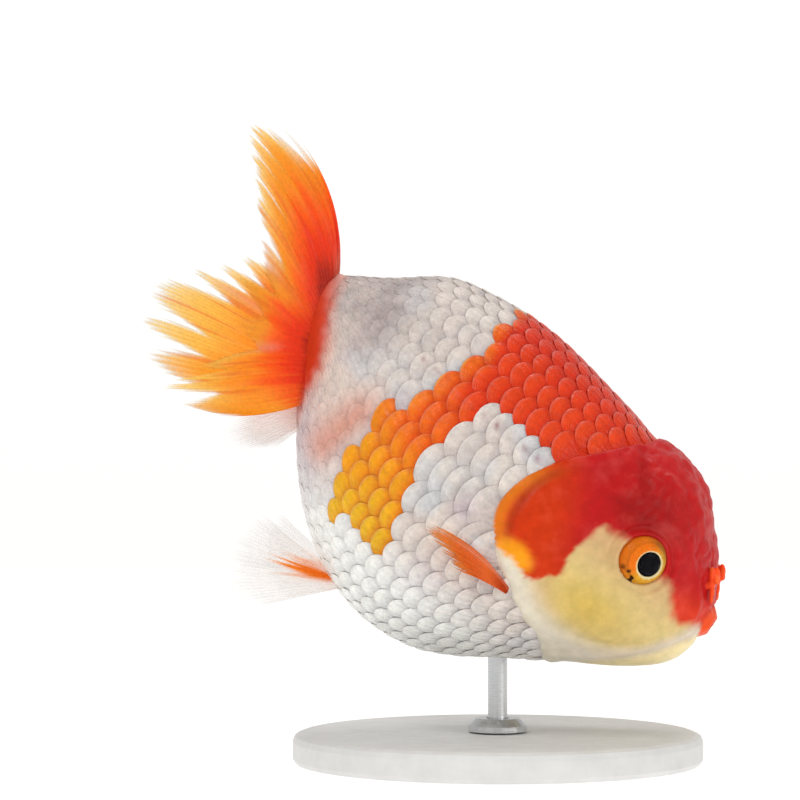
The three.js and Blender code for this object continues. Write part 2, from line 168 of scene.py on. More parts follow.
class Path:
    """A smooth line through a few points of the side view, for folds and for the edges of markings."""

    STEPS = 12

    def __init__(self, *points):
        knots = np.array(points, dtype=float)
        last = len(knots) - 1
        pieces = []
        for i in range(last):
            t = np.linspace(0.0, 1.0, self.STEPS, endpoint=i == last - 1)[:, None]
            around = [knots[min(max(k, 0), last)] for k in (i - 1, i, i + 1, i + 2)]
            pieces.append(catmull_rom(*around, t))
        self.line = np.concatenate(pieces)

    def measure(self, x, z):
        """The distance to the line, positive on its left, and the share along it of the nearest point."""
        start, end = self.line[:-1], self.line[1:]
        way = end - start
        length = np.linalg.norm(way, axis=1)
        best = np.full(len(x), np.inf)
        side = np.ones(len(x))
        share = np.zeros(len(x))
        for i, (origin, step) in enumerate(zip(start, way)):
            dx, dz = x - origin[0], z - origin[1]
            t = np.clip((dx * step[0] + dz * step[1]) / length[i] ** 2, 0.0, 1.0)
            away = np.hypot(dx - t * step[0], dz - t * step[1])
            nearer = away < best
            best = np.where(nearer, away, best)
            side = np.where(nearer, np.sign(step[0] * dz - step[1] * dx), side)
            share = np.where(nearer, (i + t) / len(way), share)
        return best * np.where(side == 0.0, 1.0, side), share

    def away(self, x, z):
        """The distance to the line alone."""
        return self.measure(x, z)[0]

    def ridge(self, x, z, width, ends):
        """1 on the line and 0 away from it, fading out at its ends."""
        away, share = self.measure(x, z)
        return bell(away, width) * smooth(0.0, ends, share) * smooth(0.0, ends, 1.0 - share)


def inside(x, z, outline):
    """Whether points of the side view lie inside a closed outline."""
    result = np.zeros(len(x), dtype=bool)
    for (ax, az), (bx, bz) in zip(outline, outline[1:] + outline[:1]):
        if az != bz:
            result ^= ((az > z) != (bz > z)) & (x < (bx - ax) * (z - az) / (bz - az) + ax)
    return result


# ---- The body's form ----

def section_at(place):
    """The key sections' values at places between them."""
    first = np.minimum(np.floor(place).astype(int), LAST_PLACE - 1)
    rows = [SECTIONS[np.clip(first + k, 0, LAST_PLACE)] for k in (-1, 0, 1, 2)]
    return catmull_rom(*rows, (place - first)[:, None])


def body_point(place, angle):
    """The CAD model's surface at a place along the sections and an angle from the back towards the left."""
    x, top, bottom, half_width, widest, square = section_at(place).T
    across = np.sign(np.sin(angle)) * np.abs(np.sin(angle)) ** (2.0 / square)
    up = np.sign(np.cos(angle)) * np.abs(np.cos(angle)) ** (2.0 / square)
    reach = np.where(up > 0.0, top - widest, widest - bottom)
    return np.stack([x, half_width * across, widest + reach * up], axis=1)


def body_normal(place, angle):
    """The direction out of that surface."""
    small = 0.01
    ahead = np.minimum(place + small, LAST_PLACE)
    behind = np.maximum(place - small, 0.0)
    along = body_point(ahead, angle) - body_point(behind, angle)
    around = body_point(place, angle + small) - body_point(place, angle - small)
    normal = np.cross(along, around)
    return normal / np.maximum(np.linalg.norm(normal, axis=1), 1e-9)[:, None]


def place_at_x(x):
    """The place along the sections of each x."""
    table = np.linspace(0.0, LAST_PLACE, 2000)
    return np.interp(x, section_at(table)[:, 0], table)


def in_row(points):
    """From the fish's own directions, in millimetres, to the row's in metres."""
    cos, sin = math.cos(PITCH), math.sin(PITCH)
    x, y, z = points.T
    return np.stack([x * cos + z * sin, y, z * cos - x * sin], axis=1) * MM


def find_origin():
    """Where the fish's own frame starts, from where the CAD model's right eye lies."""
    low, high = np.array(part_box("eye_right"))
    return (low + high) / 2.0 - in_row(CAD_EYE[None] * (1.0, -1.0, 1.0))[0]


ORIGIN = find_origin()


def to_world(points):
    """From the fish's own frame, in millimetres, to the row's frame in metres."""
    return in_row(points) + ORIGIN


# Lines of the side view, as (x, z): where the head's skin ends over the scales, and the folds of the head.
HEAD_EDGE = Path(
    (69, 40), (68.2, 25), (66, 21.5), (61.5, 16), (56.5, 9.5), (53.4, 3), (52.8, -2), (54.2, -6.5),
    (58.5, -11.4), (64, -15.4), (69.5, -18.8), (77, -23.5), (84, -45),
)
GILL_RIM = Path((62, 12.5), (58.2, 8.5), (56.4, 4), (56.2, -1), (57.6, -6), (61.5, -10.5))
HOOD_FOLD = Path((66.8, 22.5), (70.5, 19.5), (74, 16.4), (76.5, 13))
HOOD_EDGE = Path((66, 17.5), (70, 11.5), (74.5, 9.5), (78, 10.6), (82, 11.6), (87, 10), (91.5, 7.5))
CHEEK_FOLD = Path((69.5, 5.5), (66.8, 0), (67.5, -6), (70.5, -12), (76, -15.5))
JAW_LINE = Path(
    (99.6, -1.4), (98.4, -3.6), (96.3, -7.4), (92.9, -12.1), (88.6, -16.7), (84, -20.8), (77, -27),
)
CHEEK_LINE = Path(
    (97.2, 0.4), (96.1, -3.1), (94, -6.7), (91.6, -10.1), (87, -13.4), (81.5, -15.6), (76, -15.4),
)
NOSE_FOLD = Path((90.8, 9.2), (93.2, 6.8), (95.1, 4.4), (96.2, 2), (96.8, -0.4))
CHEEK = (77.5, -9.0)

# Where the tail's fleshy root ends on the body, and a crease up the flank in front of it.
TAIL_EDGE = Path((-9, 17), (-4.7, 10.8), (-2.4, 6), (1, 1), (3.8, -3.4), (4.9, -8), (5.2, -13), (5.6, -20))
BELLY_CREASE = Path((13.4, -24), (14.8, -18.5), (16.4, -12), (18.6, -6), (23, 1))


def head_share(x, z):
    """1 on the head and 0 on the trunk, with a narrow step at the head's rear edge."""
    return smooth(-0.55, 0.25, HEAD_EDGE.away(x, z))


def bare_share(x, z):
    """1 where the skin carries no scales, on the head and at the root of the tail, and 0 elsewhere."""
    return np.maximum(head_share(x, z), smooth(1.6, -2.4, TAIL_EDGE.away(x, z)))


def form_relief(points):
    """The broad swellings and hollows that the skin and the scales share, in mm outwards."""
    x, y, z = points.T
    crease = BELLY_CREASE.ridge(x, z, 2.6, 0.3) * smooth(1.0, 6.0, np.abs(y))
    hump = bell(x - 14.5, 6.0) * smooth(12.0, 22.0, z)
    swell = layered_noise(points, 16.0, 3, 2) * smooth(4.0, 20.0, x)
    return 0.9 * hump - 0.7 * crease + 0.25 * swell - LOWERED


def side_axis(forward, up):
    """A direction to the fish's left, turned forward and up by so many degrees."""
    flat = math.cos(math.radians(up))
    turn = math.radians(forward)
    return np.array([flat * math.sin(turn), flat * math.cos(turn), math.sin(math.radians(up))])


LID_AXIS = side_axis(17.0, 6.0)
GAZE_AXIS = side_axis(34.0, 7.0)
LID_RADIUS = 4.95

# Rings of skin round the eye, as distances outside the lid's edge, heights and half widths.
EYE_RINGS = ((0.42, 0.7, 0.5), (1.7, -0.34, 0.6), (2.6, 0.22, 0.6))


def eye_distance(points):
    """How far each point is from the axis of the eye on its side, and how far out along it."""
    mirrored = points * (1.0, -1.0, 1.0)
    from_centre = np.where(points[:, 1:2] > 0.0, points, mirrored) - EYE_CENTRE
    depth = from_centre @ LID_AXIS
    return np.linalg.norm(from_centre - depth[:, None] * LID_AXIS, axis=1), depth


def eye_relief(points):
    """The lid and the folds round the eyeball, the brow over it, and the socket inside."""
    away, depth = eye_distance(points)
    outside = away - LID_RADIUS
    rings = sum(height * bell(outside - place, width) for place, height, width in EYE_RINGS)
    brow = 0.6 * bell(outside - 3.45, 1.8) * smooth(0.0, 5.0, points[:, 2] - EYE_CENTRE[2])
    socket = 2.6 * smooth(-0.1, -0.7, outside)
    return (rings + brow - socket) * smooth(-8.0, -2.0, depth)


def hood_share(points):
    """1 on the fleshy hood and 0 elsewhere."""
    x, _, z = points.T
    return smooth(-2.0, 2.0, HOOD_EDGE.away(x, z)) * head_share(x, z)


def hood_relief(points):
    """Soft lobes and a fine grain over the hood."""
    swell = 0.34 * noise(points, 7.0, 4)
    lobes = 0.75 * (np.abs(noise(points, 4.6, 5)) - 0.3) + 0.42 * (np.abs(noise(points, 2.3, 6)) - 0.3)
    grain = 0.08 * noise(points, 1.1, 7)
    return (swell + lobes + grain) * hood_share(points)


# The folds of the face: each line, how far it rises in mm, its half width and the share of its faded ends.
FACE_FOLDS = (
    (GILL_RIM, -0.65, 0.9, 0.25),
    (HOOD_FOLD, -0.8, 1.2, 0.35),
    (CHEEK_FOLD, -0.4, 1.3, 0.3),
    (CHEEK_LINE, -0.4, 0.9, 0.3),
)


def face_relief(points):
    """The folds of the gill cover, the cheek, the jaw, the nose and the throat."""
    x, y, z = points.T
    rear = HEAD_EDGE.away(x, z)
    relief = 0.3 * bell(rear - 1.6, 1.3) + 0.6 * bell(x - CHEEK[0], 8.0) * bell(z - CHEEK[1], 5.5)
    relief += sum(rise * line.ridge(x, z, width, ends) for line, rise, width, ends in FACE_FOLDS)
    jaw, share = JAW_LINE.measure(x, z)
    fade = smooth(0.0, 0.25, share) * smooth(1.0, 0.7, share)
    relief += (0.35 * bell(jaw + 1.4, 0.9) - 0.8 * bell(jaw, 0.6)) * fade
    nose, share = NOSE_FOLD.measure(x, z)
    fade = smooth(0.0, 0.2, share) * smooth(1.0, 0.8, share) * smooth(5.0, 9.0, np.abs(y))
    relief += (0.75 * bell(nose, 0.75) - 0.4 * bell(nose - 1.5, 0.7)) * fade
    relief -= 0.8 * bell(y, 1.6) * smooth(56.0, 64.0, x) * smooth(90.0, 82.0, x) * (z < -10.0)
    return (relief + 0.06 * noise(points, 2.2, 9)) * smooth(-1.0, 1.0, rear)


# ---- The mouth ----

MOUTH_LEVEL = 0.9
MOUTH_HALF = (2.9, 0.8)     # half the width and half the height of its slit
LIP_REACH = 2.55
MOUTH_DEPTH = 3.2


def mouth_distance(points):
    """0 at the middle of the mouth, 1 on the edge of its slit and 2 at the outer edge of the lips."""
    y, z = points[:, 1], points[:, 2] - MOUTH_LEVEL
    slit = np.hypot(y / MOUTH_HALF[0], (z + 0.035 * y**2) / MOUTH_HALF[1])
    outer = np.hypot(y / (MOUTH_HALF[0] + LIP_REACH), z / (MOUTH_HALF[1] + LIP_REACH))
    beyond = np.clip((slit - 1.0) / np.maximum(slit / outer - 1.0, 0.05), 0.0, 9.0)
    return np.where(slit < 1.0, slit, 1.0 + beyond)


def shape_mouth(points):
    """Raises the lips and pushes the slit between them inwards."""
    x, y, z = points.T
    place = mouth_distance(points)
    turn = np.arctan2(z - MOUTH_LEVEL, y)
    wrinkles = 0.045 * np.sin(turn * 19.0 + 2.0 * place) * bell(place - 1.6, 0.35)
    stout = mix(0.6, 1.0, smooth(-2.4, 1.6, z))
    lips = 1.25 * bell(place - 1.36, 0.46) * stout + wrinkles - 0.35 * bell(place - 2.25, 0.25)
    slit = MOUTH_DEPTH * smooth(1.12, 0.5, place)
    return np.stack([x + (lips - slit) * smooth(94.0, 96.5, x), y, z], axis=1)


# ---- Markings, with some painted shade and light ----

def linear(code):
    """A linear colour from a web colour code."""
    value = np.array([int(code[i:i + 2], 16) for i in (0, 2, 4)]) / 255.0
    return np.where(value <= 0.04045, value / 12.92, ((value + 0.055) / 1.055) ** 2.4)


WHITE = linear("E4D4C9")
LILAC = linear("CDBBC0")
COOL = linear("D2D6D9")
WARM = linear("F1E2D4")
GREY = linear("BDB6B6")
ASH = linear("ADA09E")
BELLY_AND_PAINTED_LIGHT = linear("FCF9F2")
PINK = linear("E0937C")
RED = linear("D82A16")
SCARLET = linear("EA4414")
ORANGE = linear("F97010")
AMBER = linear("FAA010")
GOLD = linear("F2B41A")
TAIL_ROOT = linear("CE3410")
ROOT_RED = linear("C83816")
HOOD_RED = linear("BE1618")
# A darker red of the hood, also used as painted shade in the hood's fold.
HOOD_DARK_AND_FOLD_SHADE = linear("96100E")
COVER_RED = linear("CE3500")
# A darker red painted as shade in the groove along the gill cover's rim.
GILL_GROOVE_SHADE = linear("A23208")
RIM_ORANGE = linear("DE7412")
CREAM = linear("DCC486")
CHEEK_GOLD = linear("D4B458")
CHEEK_TAN = linear("CDA274")
PALE_CREAM = linear("E2DACB")
JAW_BAND = linear("D8CCC0")
CHIN = linear("F0DDA6")
LIP = linear("F0521E")
LIP_INNER = linear("C83C22")
# A darkened lip colour, painted as shade inside the mouth's slit.
MOUTH_SHADE = mix(LIP, HOOD_RED, 0.7) * 0.45

# The saddle of coloured scales over the back, in the side view: its rear edge from the back downwards, and
# its lower and front edge from there to the head. It differs on the two sides: -1 is the right one.
SADDLE_REAR = {
    -1.0: [(30, 22), (31.5, 16.5), (28.3, 6), (24.4, 0), (21.2, -7), (23, -13), (21.6, -21)],
    1.0: [(32, 23), (29, 15), (32, 7), (28, 0), (31, -9), (29.5, -17)],
}
SADDLE_FRONT = {
    -1.0: [
        (25, -26.2), (36.5, -28), (40.5, -21), (37.4, -14.2), (33.8, -7), (35.6, 2), (40.6, 11), (53, 12.2),
        (57.4, 9),
    ],
    1.0: [(37, -19.5), (43, -14), (41, -5), (45, 3), (51, 7), (58, 9)],
}
SADDLES = {
    side: [(31, 45), *rear, *SADDLE_FRONT[side], (76, 14), (78, 45)] for side, rear in SADDLE_REAR.items()
}
SADDLE_RIMS = {side: Path((31, 36), *rear) for side, rear in SADDLE_REAR.items()}

# Where red gives way to cream on the head, from the gill cover's rim past the eye to the mouth.
RED_EDGE = Path(
    (54, -10.4), (60.4, -10.4), (63.4, -11.2), (66.4, -11.6), (69.2, -9.2), (70.8, -6.4), (70.4, -3),
    (70.8, 1.2), (71.6, 5.4), (74.2, 5.6), (77.4, 6.4), (81, 4.5), (86.4, 4.2), (89.4, 3.8), (91.6, 1.4),
    (94.6, -1.6), (97.6, -0.4), (103, 3),
)
AMBER_SPOT = (61.2, -9.6)


def blend(colours, other, share):
    """Colours with another one laid over them, by its share."""
    return mix(colours, other, np.asarray(share)[..., None])


def layered(ground, count, *layers):
    """So many points of a ground colour, with other colours laid over it by their shares."""
    colours = np.tile(ground, (count, 1))
    for colour, share in layers:
        colours = blend(colours, colour, share)
    return colours


def saddle_share(points):
    """1 on the saddle and 0 elsewhere."""
    x, y, z = points.T
    return np.where(y < 0.0, inside(x, z, SADDLES[-1.0]), inside(x, z, SADDLES[1.0])).astype(float)


def saddle_rim(points):
    """1 on the rear edge of the saddle, where its red thins to amber."""
    x, y, z = points.T
    away = np.where(y < 0.0, SADDLE_RIMS[-1.0].away(x, z), SADDLE_RIMS[1.0].away(x, z))
    return smooth(3.2, 0.6, np.abs(away))


def saddle_colour(points):
    """Red near the ridge of the back, then orange, and amber and gold low on the flank."""
    height = points[:, 2] + 2.5 * noise(points, 8.0, 31)
    return layered(
        GOLD, len(points),
        (AMBER, smooth(-24.0, -14.0, height)),
        (ORANGE, smooth(-14.0, -2.0, height)),
        (SCARLET, smooth(-1.0, 9.0, height)),
        (RED, 0.6 * smooth(17.0, 27.0, height)),
        (AMBER, 0.25 * saddle_rim(points)),
    )


def trunk_colour(points):
    """The white ground of the trunk with its lilac, ash and pink shades, a belly lightened partly by painted
    light from below, and the red root of the tail.
    """
    x, y, z = points.T
    ashen = smooth(-4.0, 9.0, z) * (0.72 * smooth(18.0, 9.0, x) + 0.28 * smooth(36.0, 22.0, x))
    crease = BELLY_CREASE.ridge(x, z, 4.2, 0.3) * smooth(1.0, 5.0, np.abs(y))
    edge = TAIL_EDGE.away(x, z)
    root = smooth(1.6, -1.4, edge + 0.7 * noise(points, 2.0, 25))
    return layered(
        WHITE, len(points),
        (LILAC, 0.8 * smooth(0.0, 0.8, noise(points, 8.0, 21))),
        (COOL, 0.6 * smooth(0.1, 0.8, noise(points, 6.0, 22))),
        (WARM, 0.7 * smooth(0.0, 0.7, noise(points, 5.0, 23))),
        (GREY, 0.5 * smooth(0.1, 0.8, noise(points, 2.2, 26))),
        # The belly's own paler colour, brightened further as painted light from below.
        (BELLY_AND_PAINTED_LIGHT, smooth(-18.0, -32.0, z)),
        (LILAC, 0.5 * smooth(26.0, 14.0, x) * smooth(-8.0, -20.0, z)),
        (ASH, ashen * (0.5 + 0.5 * smooth(-0.6, 0.5, layered_noise(points, 6.0, 24)))),
        (PINK, 0.8 * crease),
        (PINK, 0.42 * smooth(3.4, 0.6, edge)),
        (ROOT_RED, root * (1.0 - 0.45 * smooth(5.0, 13.0, z))),
    )


def hood_colour(points, lumps, rear):
    """The red of the hood and of the gill covers, with painted shade in the hood's fold and in the gill rim's
    groove.
    """
    x, _, z = points.T
    temple = bell(x - 76.5, 7.0) * bell(z - 13.0, 5.0)
    spot = np.hypot((x - AMBER_SPOT[0]) / 5.2, (z - AMBER_SPOT[1]) / 3.3)
    return layered(
        COVER_RED, len(points),
        (HOOD_RED, smooth(62.0, 74.0, x + 0.7 * z + 2.0 * lumps)),
        (SCARLET, 0.55 * smooth(88.0, 93.0, x) * smooth(7.0, 1.0, z)),
        (HOOD_DARK_AND_FOLD_SHADE, temple * smooth(-1.0, 0.4, lumps)),
        # Painted shade along the hood's fold.
        (HOOD_DARK_AND_FOLD_SHADE, 0.5 * HOOD_FOLD.ridge(x, z, 1.5, 0.35)),
        (RIM_ORANGE, smooth(3.8, 1.0, rear) * smooth(11.0, 4.0, z)),
        # Painted shade in the groove along the gill cover's rim.
        (GILL_GROOVE_SHADE, 0.55 * GILL_RIM.ridge(x, z, 1.1, 0.25)),
        (AMBER, 0.95 * smooth(1.15, 0.5, spot + 0.2 * lumps)),
    )


def cheek_colour(points, rear):
    """The cream of the cheeks, the pale band of the jaw and the yellower chin."""
    x, _, z = points.T
    cheek, share = CHEEK_LINE.measure(x, z)
    return layered(
        CREAM, len(points),
        (CHEEK_TAN, 0.8 * smooth(-6.0, 5.0, z)),
        (CHEEK_GOLD, 0.9 * bell(x - 79.0, 9.0) * bell(z + 9.0, 5.5)),
        (PALE_CREAM, 0.85 * np.maximum(smooth(-13.0, -18.5, z), smooth(8.0, 2.0, rear))),
        (CHEEK_TAN, 0.35 * CHEEK_FOLD.ridge(x, z, 2.2, 0.3)),
        (JAW_BAND, 0.75 * smooth(-0.6, 1.4, cheek) * smooth(0.95, 0.55, share)),
        (CHIN, smooth(-0.2, 1.0, JAW_LINE.away(x, z)) * smooth(72.0, 80.0, x)),
    )


def head_colour(points):
    """The red hood and gill covers, the cream cheeks and chin, and the orange lips, with painted shade inside
    the mouth.
    """
    x, _, z = points.T
    lumps = layered_noise(points, 5.0, 41)
    rear = HEAD_EDGE.away(x, z)
    edge = RED_EDGE.away(x, z) + 0.5 * noise(points, 2.4, 44) + 0.3 * noise(points, 0.9, 45)
    width = 0.5 + 0.9 * smooth(70.0, 76.0, x)
    colours = blend(cheek_colour(points, rear), hood_colour(points, lumps, rear), smooth(-width, width, edge))
    mouth = mouth_distance(points)
    lips = smooth(2.15, 1.85, mouth + 0.12 * lumps) * smooth(95.5, 97.0, x)
    colours = blend(colours, LIP, lips)
    colours = blend(colours, LIP_INNER, 0.6 * smooth(1.6, 1.15, mouth) * lips)
    # Painted shade inside the mouth's slit.
    return blend(colours, MOUTH_SHADE, smooth(1.1, 0.7, mouth) * lips)


def body_colour(points):
    """The colour of the skin at each point of the CAD model's surface."""
    x, _, z = points.T
    trunk = blend(trunk_colour(points), saddle_colour(points), saddle_share(points))
    return blend(trunk, head_colour(points), head_share(x, z))


# ---- Meshes ----

def new_mesh(name, points, faces, material):
    """A Blender object from points of the row's frame, in metres."""
    mesh = bpy.data.meshes.new(name)
    mesh.from_pydata(points.tolist(), [], faces)
    mesh.polygons.foreach_set("use_smooth", np.full(len(mesh.polygons), True))
    mesh.materials.append(material)
    mesh.update()
    obj = bpy.data.objects.new(name, mesh)
    bpy.context.scene.collection.objects.link(obj)
    return obj


def set_colour(obj, name, colours):
    """A colour for each vertex, for the materials to read."""
    layer = obj.data.color_attributes.new(name, "FLOAT_COLOR", "POINT")
    layer.data.foreach_set("color", np.column_stack([colours, np.ones(len(colours))]).ravel())


def set_number(obj, name, values):
    """A number for each vertex, for the materials to read."""
    layer = obj.data.attributes.new(name, "FLOAT", "POINT")
    layer.data.foreach_set("value", np.asarray(values, dtype=np.float32))


def whole_numbers(items, key):
    """A whole number from each of a mesh's corners or faces."""
    values = np.empty(len(items), dtype=np.int32)
    items.foreach_get(key, values)
    return values


def corner_vertices(obj):
    """The vertex at each corner of each face."""
    return whole_numbers(obj.data.loops, "vertex_index")


MAP_MARGIN = 0.02


def on_map(*shares):
    """Places on a UV map, inside its margin, from shares of its two sides."""
    return MAP_MARGIN + (1.0 - 2.0 * MAP_MARGIN) * np.stack(shares, axis=1)


def set_map(obj, name, corners):
    """A UV map from a place for each corner of each face."""
    layer = obj.data.uv_layers.new(name=name)
    layer.data.foreach_set("uv", corners.astype(np.float32).ravel())


def grid_faces(rows, columns, closed=False):
    """Four-sided faces over a grid of vertices, joined round its rows where it is closed."""
    wide = columns if closed else columns - 1
    row, column = np.meshgrid(np.arange(rows - 1), np.arange(wide), indexing="ij")
    here, above = row * columns, (row + 1) * columns
    after = (column + 1) % columns
    corners = (here + column, here + after, above + after, above + column)
    return np.stack([corner.ravel() for corner in corners], axis=1)


def plate_faces(rows, columns):
    """The faces of a closed plate of two such grids: its top, its underside and its rim."""
    size = rows * columns
    index = np.arange(size).reshape(rows, columns)
    edge = np.concatenate([index[0], index[1:, -1], index[-1, -2::-1], index[-2:0:-1, 0]])
    after = np.roll(edge, -1)
    top = grid_faces(rows, columns)
    rim = np.stack([after, edge, edge + size, after + size], axis=1)
    return np.concatenate([top, top[:, ::-1] + size, rim])


def closed_faces(rows, columns):
    """The faces of a closed grid, and the fans that join its first and last rows to two more points."""
    faces = grid_faces(rows, columns, closed=True).tolist()
    last, ends = (rows - 1) * columns, rows * columns
    for j in range(columns):
        k = (j + 1) % columns
        faces.append([k, j, ends])
        faces.append([last + j, last + k, ends + 1])
    return faces


def with_ends(points, columns):
    """A closed grid's points and the two more: the middles of its first and last rows."""
    return np.concatenate([points, [points[:columns].mean(axis=0), points[-columns:].mean(axis=0)]])


# ---- Materials ----

class Shader:
    """A short way to build the nodes of a material or of the world."""

    def __init__(self, owner):
        self.owner = owner
        owner.use_nodes = True
        self.tree = owner.node_tree
        self.tree.nodes.clear()

    def feed(self, socket, value):
        """Sets a socket to a plain value, or links it to another node's socket."""
        if hasattr(value, "links"):
            self.tree.links.new(value, socket)
        else:
            socket.default_value = value

    def node(self, kind, inputs, **settings):
        """A new node, with its settings, and its inputs fed by name or by number."""
        made = self.tree.nodes.new(kind)
        for key, value in settings.items():
            setattr(made, key, value)
        for key, value in inputs.items():
            self.feed(made.inputs[key], value)
        return made

    def principled(self, **values):
        inputs = {key.replace("_", " "): value for key, value in values.items()}
        return self.node("ShaderNodeBsdfPrincipled", inputs).outputs["BSDF"]

    def attribute(self, name, output="Fac"):
        return self.node("ShaderNodeAttribute", {}, attribute_name=name).outputs[output]

    def place(self, output="Object"):
        return self.node("ShaderNodeTexCoord", {}).outputs[output]

    def noise(self, scale, detail=3.0, roughness=0.5, place=None):
        inputs = {"Scale": scale, "Detail": detail, "Roughness": roughness, "Vector": place or self.place()}
        return self.node("ShaderNodeTexNoise", inputs).outputs["Fac"]

    def range(self, value, low, high, to_low, to_high):
        inputs = {"Value": value, "From Min": low, "From Max": high, "To Min": to_low, "To Max": to_high}
        return self.node("ShaderNodeMapRange", inputs).outputs["Result"]

    def grain(self, low, high, scale, detail=3.0, roughness=0.5):
        """Noise spread from low to high."""
        return self.range(self.noise(scale, detail, roughness), 0.3, 0.7, low, high)

    def mix(self, share, first, second, how="MIX"):
        made = self.node("ShaderNodeMix", {"Factor": share}, data_type="RGBA", blend_type=how)
        colours = [socket for socket in made.inputs if socket.type == "RGBA"]
        for socket, value in zip(colours, (first, second)):
            self.feed(socket, value if hasattr(value, "links") else (*value, 1.0))
        return next(socket for socket in made.outputs if socket.type == "RGBA")

    def shaded(self, colour, shade):
        """A colour multiplied by a shade."""
        return self.mix(1.0, colour, shade, "MULTIPLY")

    def maths(self, how, *values):
        return self.node("ShaderNodeMath", dict(enumerate(values)), operation=how).outputs["Value"]

    def bump(self, height, distance, strength, below=None):
        """A normal with a relief in it, over the one below."""
        inputs = {"Height": height, "Distance": distance, "Strength": strength}
        if below:
            inputs["Normal"] = below
        return self.node("ShaderNodeBump", inputs).outputs["Normal"]

    def over(self, share, first, second):
        """A share of the second surface over the first."""
        return self.node("ShaderNodeMixShader", {0: share, 1: first, 2: second}).outputs["Shader"]

    def clear(self):
        return self.node("ShaderNodeBsdfTransparent", {}).outputs["BSDF"]

    def finish(self, surface, output="ShaderNodeOutputMaterial"):
        self.node(output, {"Surface": surface})
        return self.owner


def new_shader(name):
    """The nodes of a new material."""
    return Shader(bpy.data.materials.new(name))


def skin_material():
    """Moist, slightly see-through flesh with a fine grain and faint mottling."""
    s = new_shader("skin")
    colour = s.shaded(s.attribute("colour", "Color"), s.grain(0.9, 1.08, 420.0, 4.0, 0.6))
    bloom = s.range(s.noise(210.0), 0.5, 0.8, 0.0, 0.06)
    normal = s.bump(s.noise(2600.0, 2.0, 0.6), 0.00008, 0.4)
    return s.finish(s.principled(
        Base_Color=s.mix(bloom, colour, linear("F2B8A8")),
        Roughness=s.grain(0.34, 0.5, 700.0),
        Normal=s.bump(s.noise(950.0, 3.0, 0.55), 0.0002, 0.35, normal),
        Subsurface_Weight=0.22,
        Subsurface_Radius=(1.0, 0.42, 0.25),
        Subsurface_Scale=0.0022,
        Specular_IOR_Level=0.14,
    ))


def scale_material():
    """Thin horny plates: paler at the rear rim, partly their own colour and partly a painted sheen, with
    faint growth rings and spokes.
    """
    s = new_shader("scales")
    rim = s.attribute("rim")
    rings = s.maths("SINE", s.maths("MULTIPLY", rim, 40.0))
    spokes = s.maths("SINE", s.maths("MULTIPLY", s.attribute("spoke"), 24.0))
    blotches = s.maths("MULTIPLY", s.grain(0.92, 1.06, 1500.0), s.grain(0.88, 1.08, 430.0, 3.0, 0.6))
    shade = s.maths("MULTIPLY", blotches, s.range(spokes, -1.0, 1.0, 0.97, 1.02))
    # The rear rim turns paler: partly the scales' own colour, partly a painted sheen.
    pearly = s.range(rim, 0.6, 1.0, 0.0, 0.08)
    normal = s.bump(rings, 0.00003, 0.5)
    normal = s.bump(spokes, 0.00006, 0.6, normal)
    return s.finish(s.principled(
        Base_Color=s.shaded(s.mix(pearly, s.attribute("colour", "Color"), linear("FBEFE4")), shade),
        Roughness=s.grain(0.24, 0.38, 1200.0, 2.0),
        Normal=s.bump(s.noise(1800.0, 2.0), 0.00016, 0.5, normal),
        Subsurface_Weight=0.15,
        Subsurface_Radius=(1.0, 0.6, 0.45),
        Subsurface_Scale=0.001,
        Specular_IOR_Level=0.2,
    ))


def fin_material():
    """A thin wet membrane that light comes through, gone to nothing at its ragged tips."""
    s = new_shader("fin")
    colour = s.shaded(s.attribute("colour", "Color"), s.grain(0.92, 1.06, 1500.0))
    wet = s.principled(
        Base_Color=colour,
        Roughness=s.grain(0.32, 0.46, 900.0, 2.0),
        Normal=s.bump(s.attribute("ray"), 0.00012, 0.6),
        Specular_IOR_Level=0.4,
    )
    glow = s.node("ShaderNodeBsdfTranslucent", {"Color": colour}).outputs["BSDF"]
    return s.finish(s.over(s.attribute("cover"), s.clear(), s.over(0.6, wet, glow)))


def eye_material():
    """The flecked iris and the black pupil under the dome."""
    s = new_shader("eyeball")
    fleck = s.range(s.noise(2400.0, 3.0, 0.6), 0.35, 0.7, 0.86, 1.1)
    return s.finish(s.principled(
        Base_Color=s.shaded(s.attribute("colour", "Color"), fleck),
        Roughness=s.grain(0.22, 0.34, 1800.0, 2.0),
        Normal=s.bump(s.noise(3000.0, 2.0), 0.00006, 0.5),
        Specular_IOR_Level=0.04,
    ))


def cornea_material():
    """A clear wet dome: it shows what is behind it and mirrors the lamps."""
    s = new_shader("cornea")
    smear = s.grain(0.02, 0.06, 1200.0, 2.0)
    shine = s.principled(Base_Color=(0.0, 0.0, 0.0, 1.0), Roughness=smear, Specular_IOR_Level=1.0)
    facing = s.node("ShaderNodeFresnel", {"IOR": 1.36}).outputs["Fac"]
    return s.finish(s.over(s.range(facing, 0.02, 1.0, 0.025, 0.14), s.clear(), shine))


def base_material():
    """Pale cast resin with a faint grain."""
    s = new_shader("stand_base")
    return s.finish(s.principled(
        Base_Color=s.mix(s.grain(0.0, 1.0, 160.0, 5.0, 0.6), (0.64, 0.635, 0.62), (0.72, 0.715, 0.70)),
        Roughness=s.grain(0.45, 0.6, 600.0),
        Normal=s.bump(s.noise(2200.0), 0.00008, 0.4),
    ))


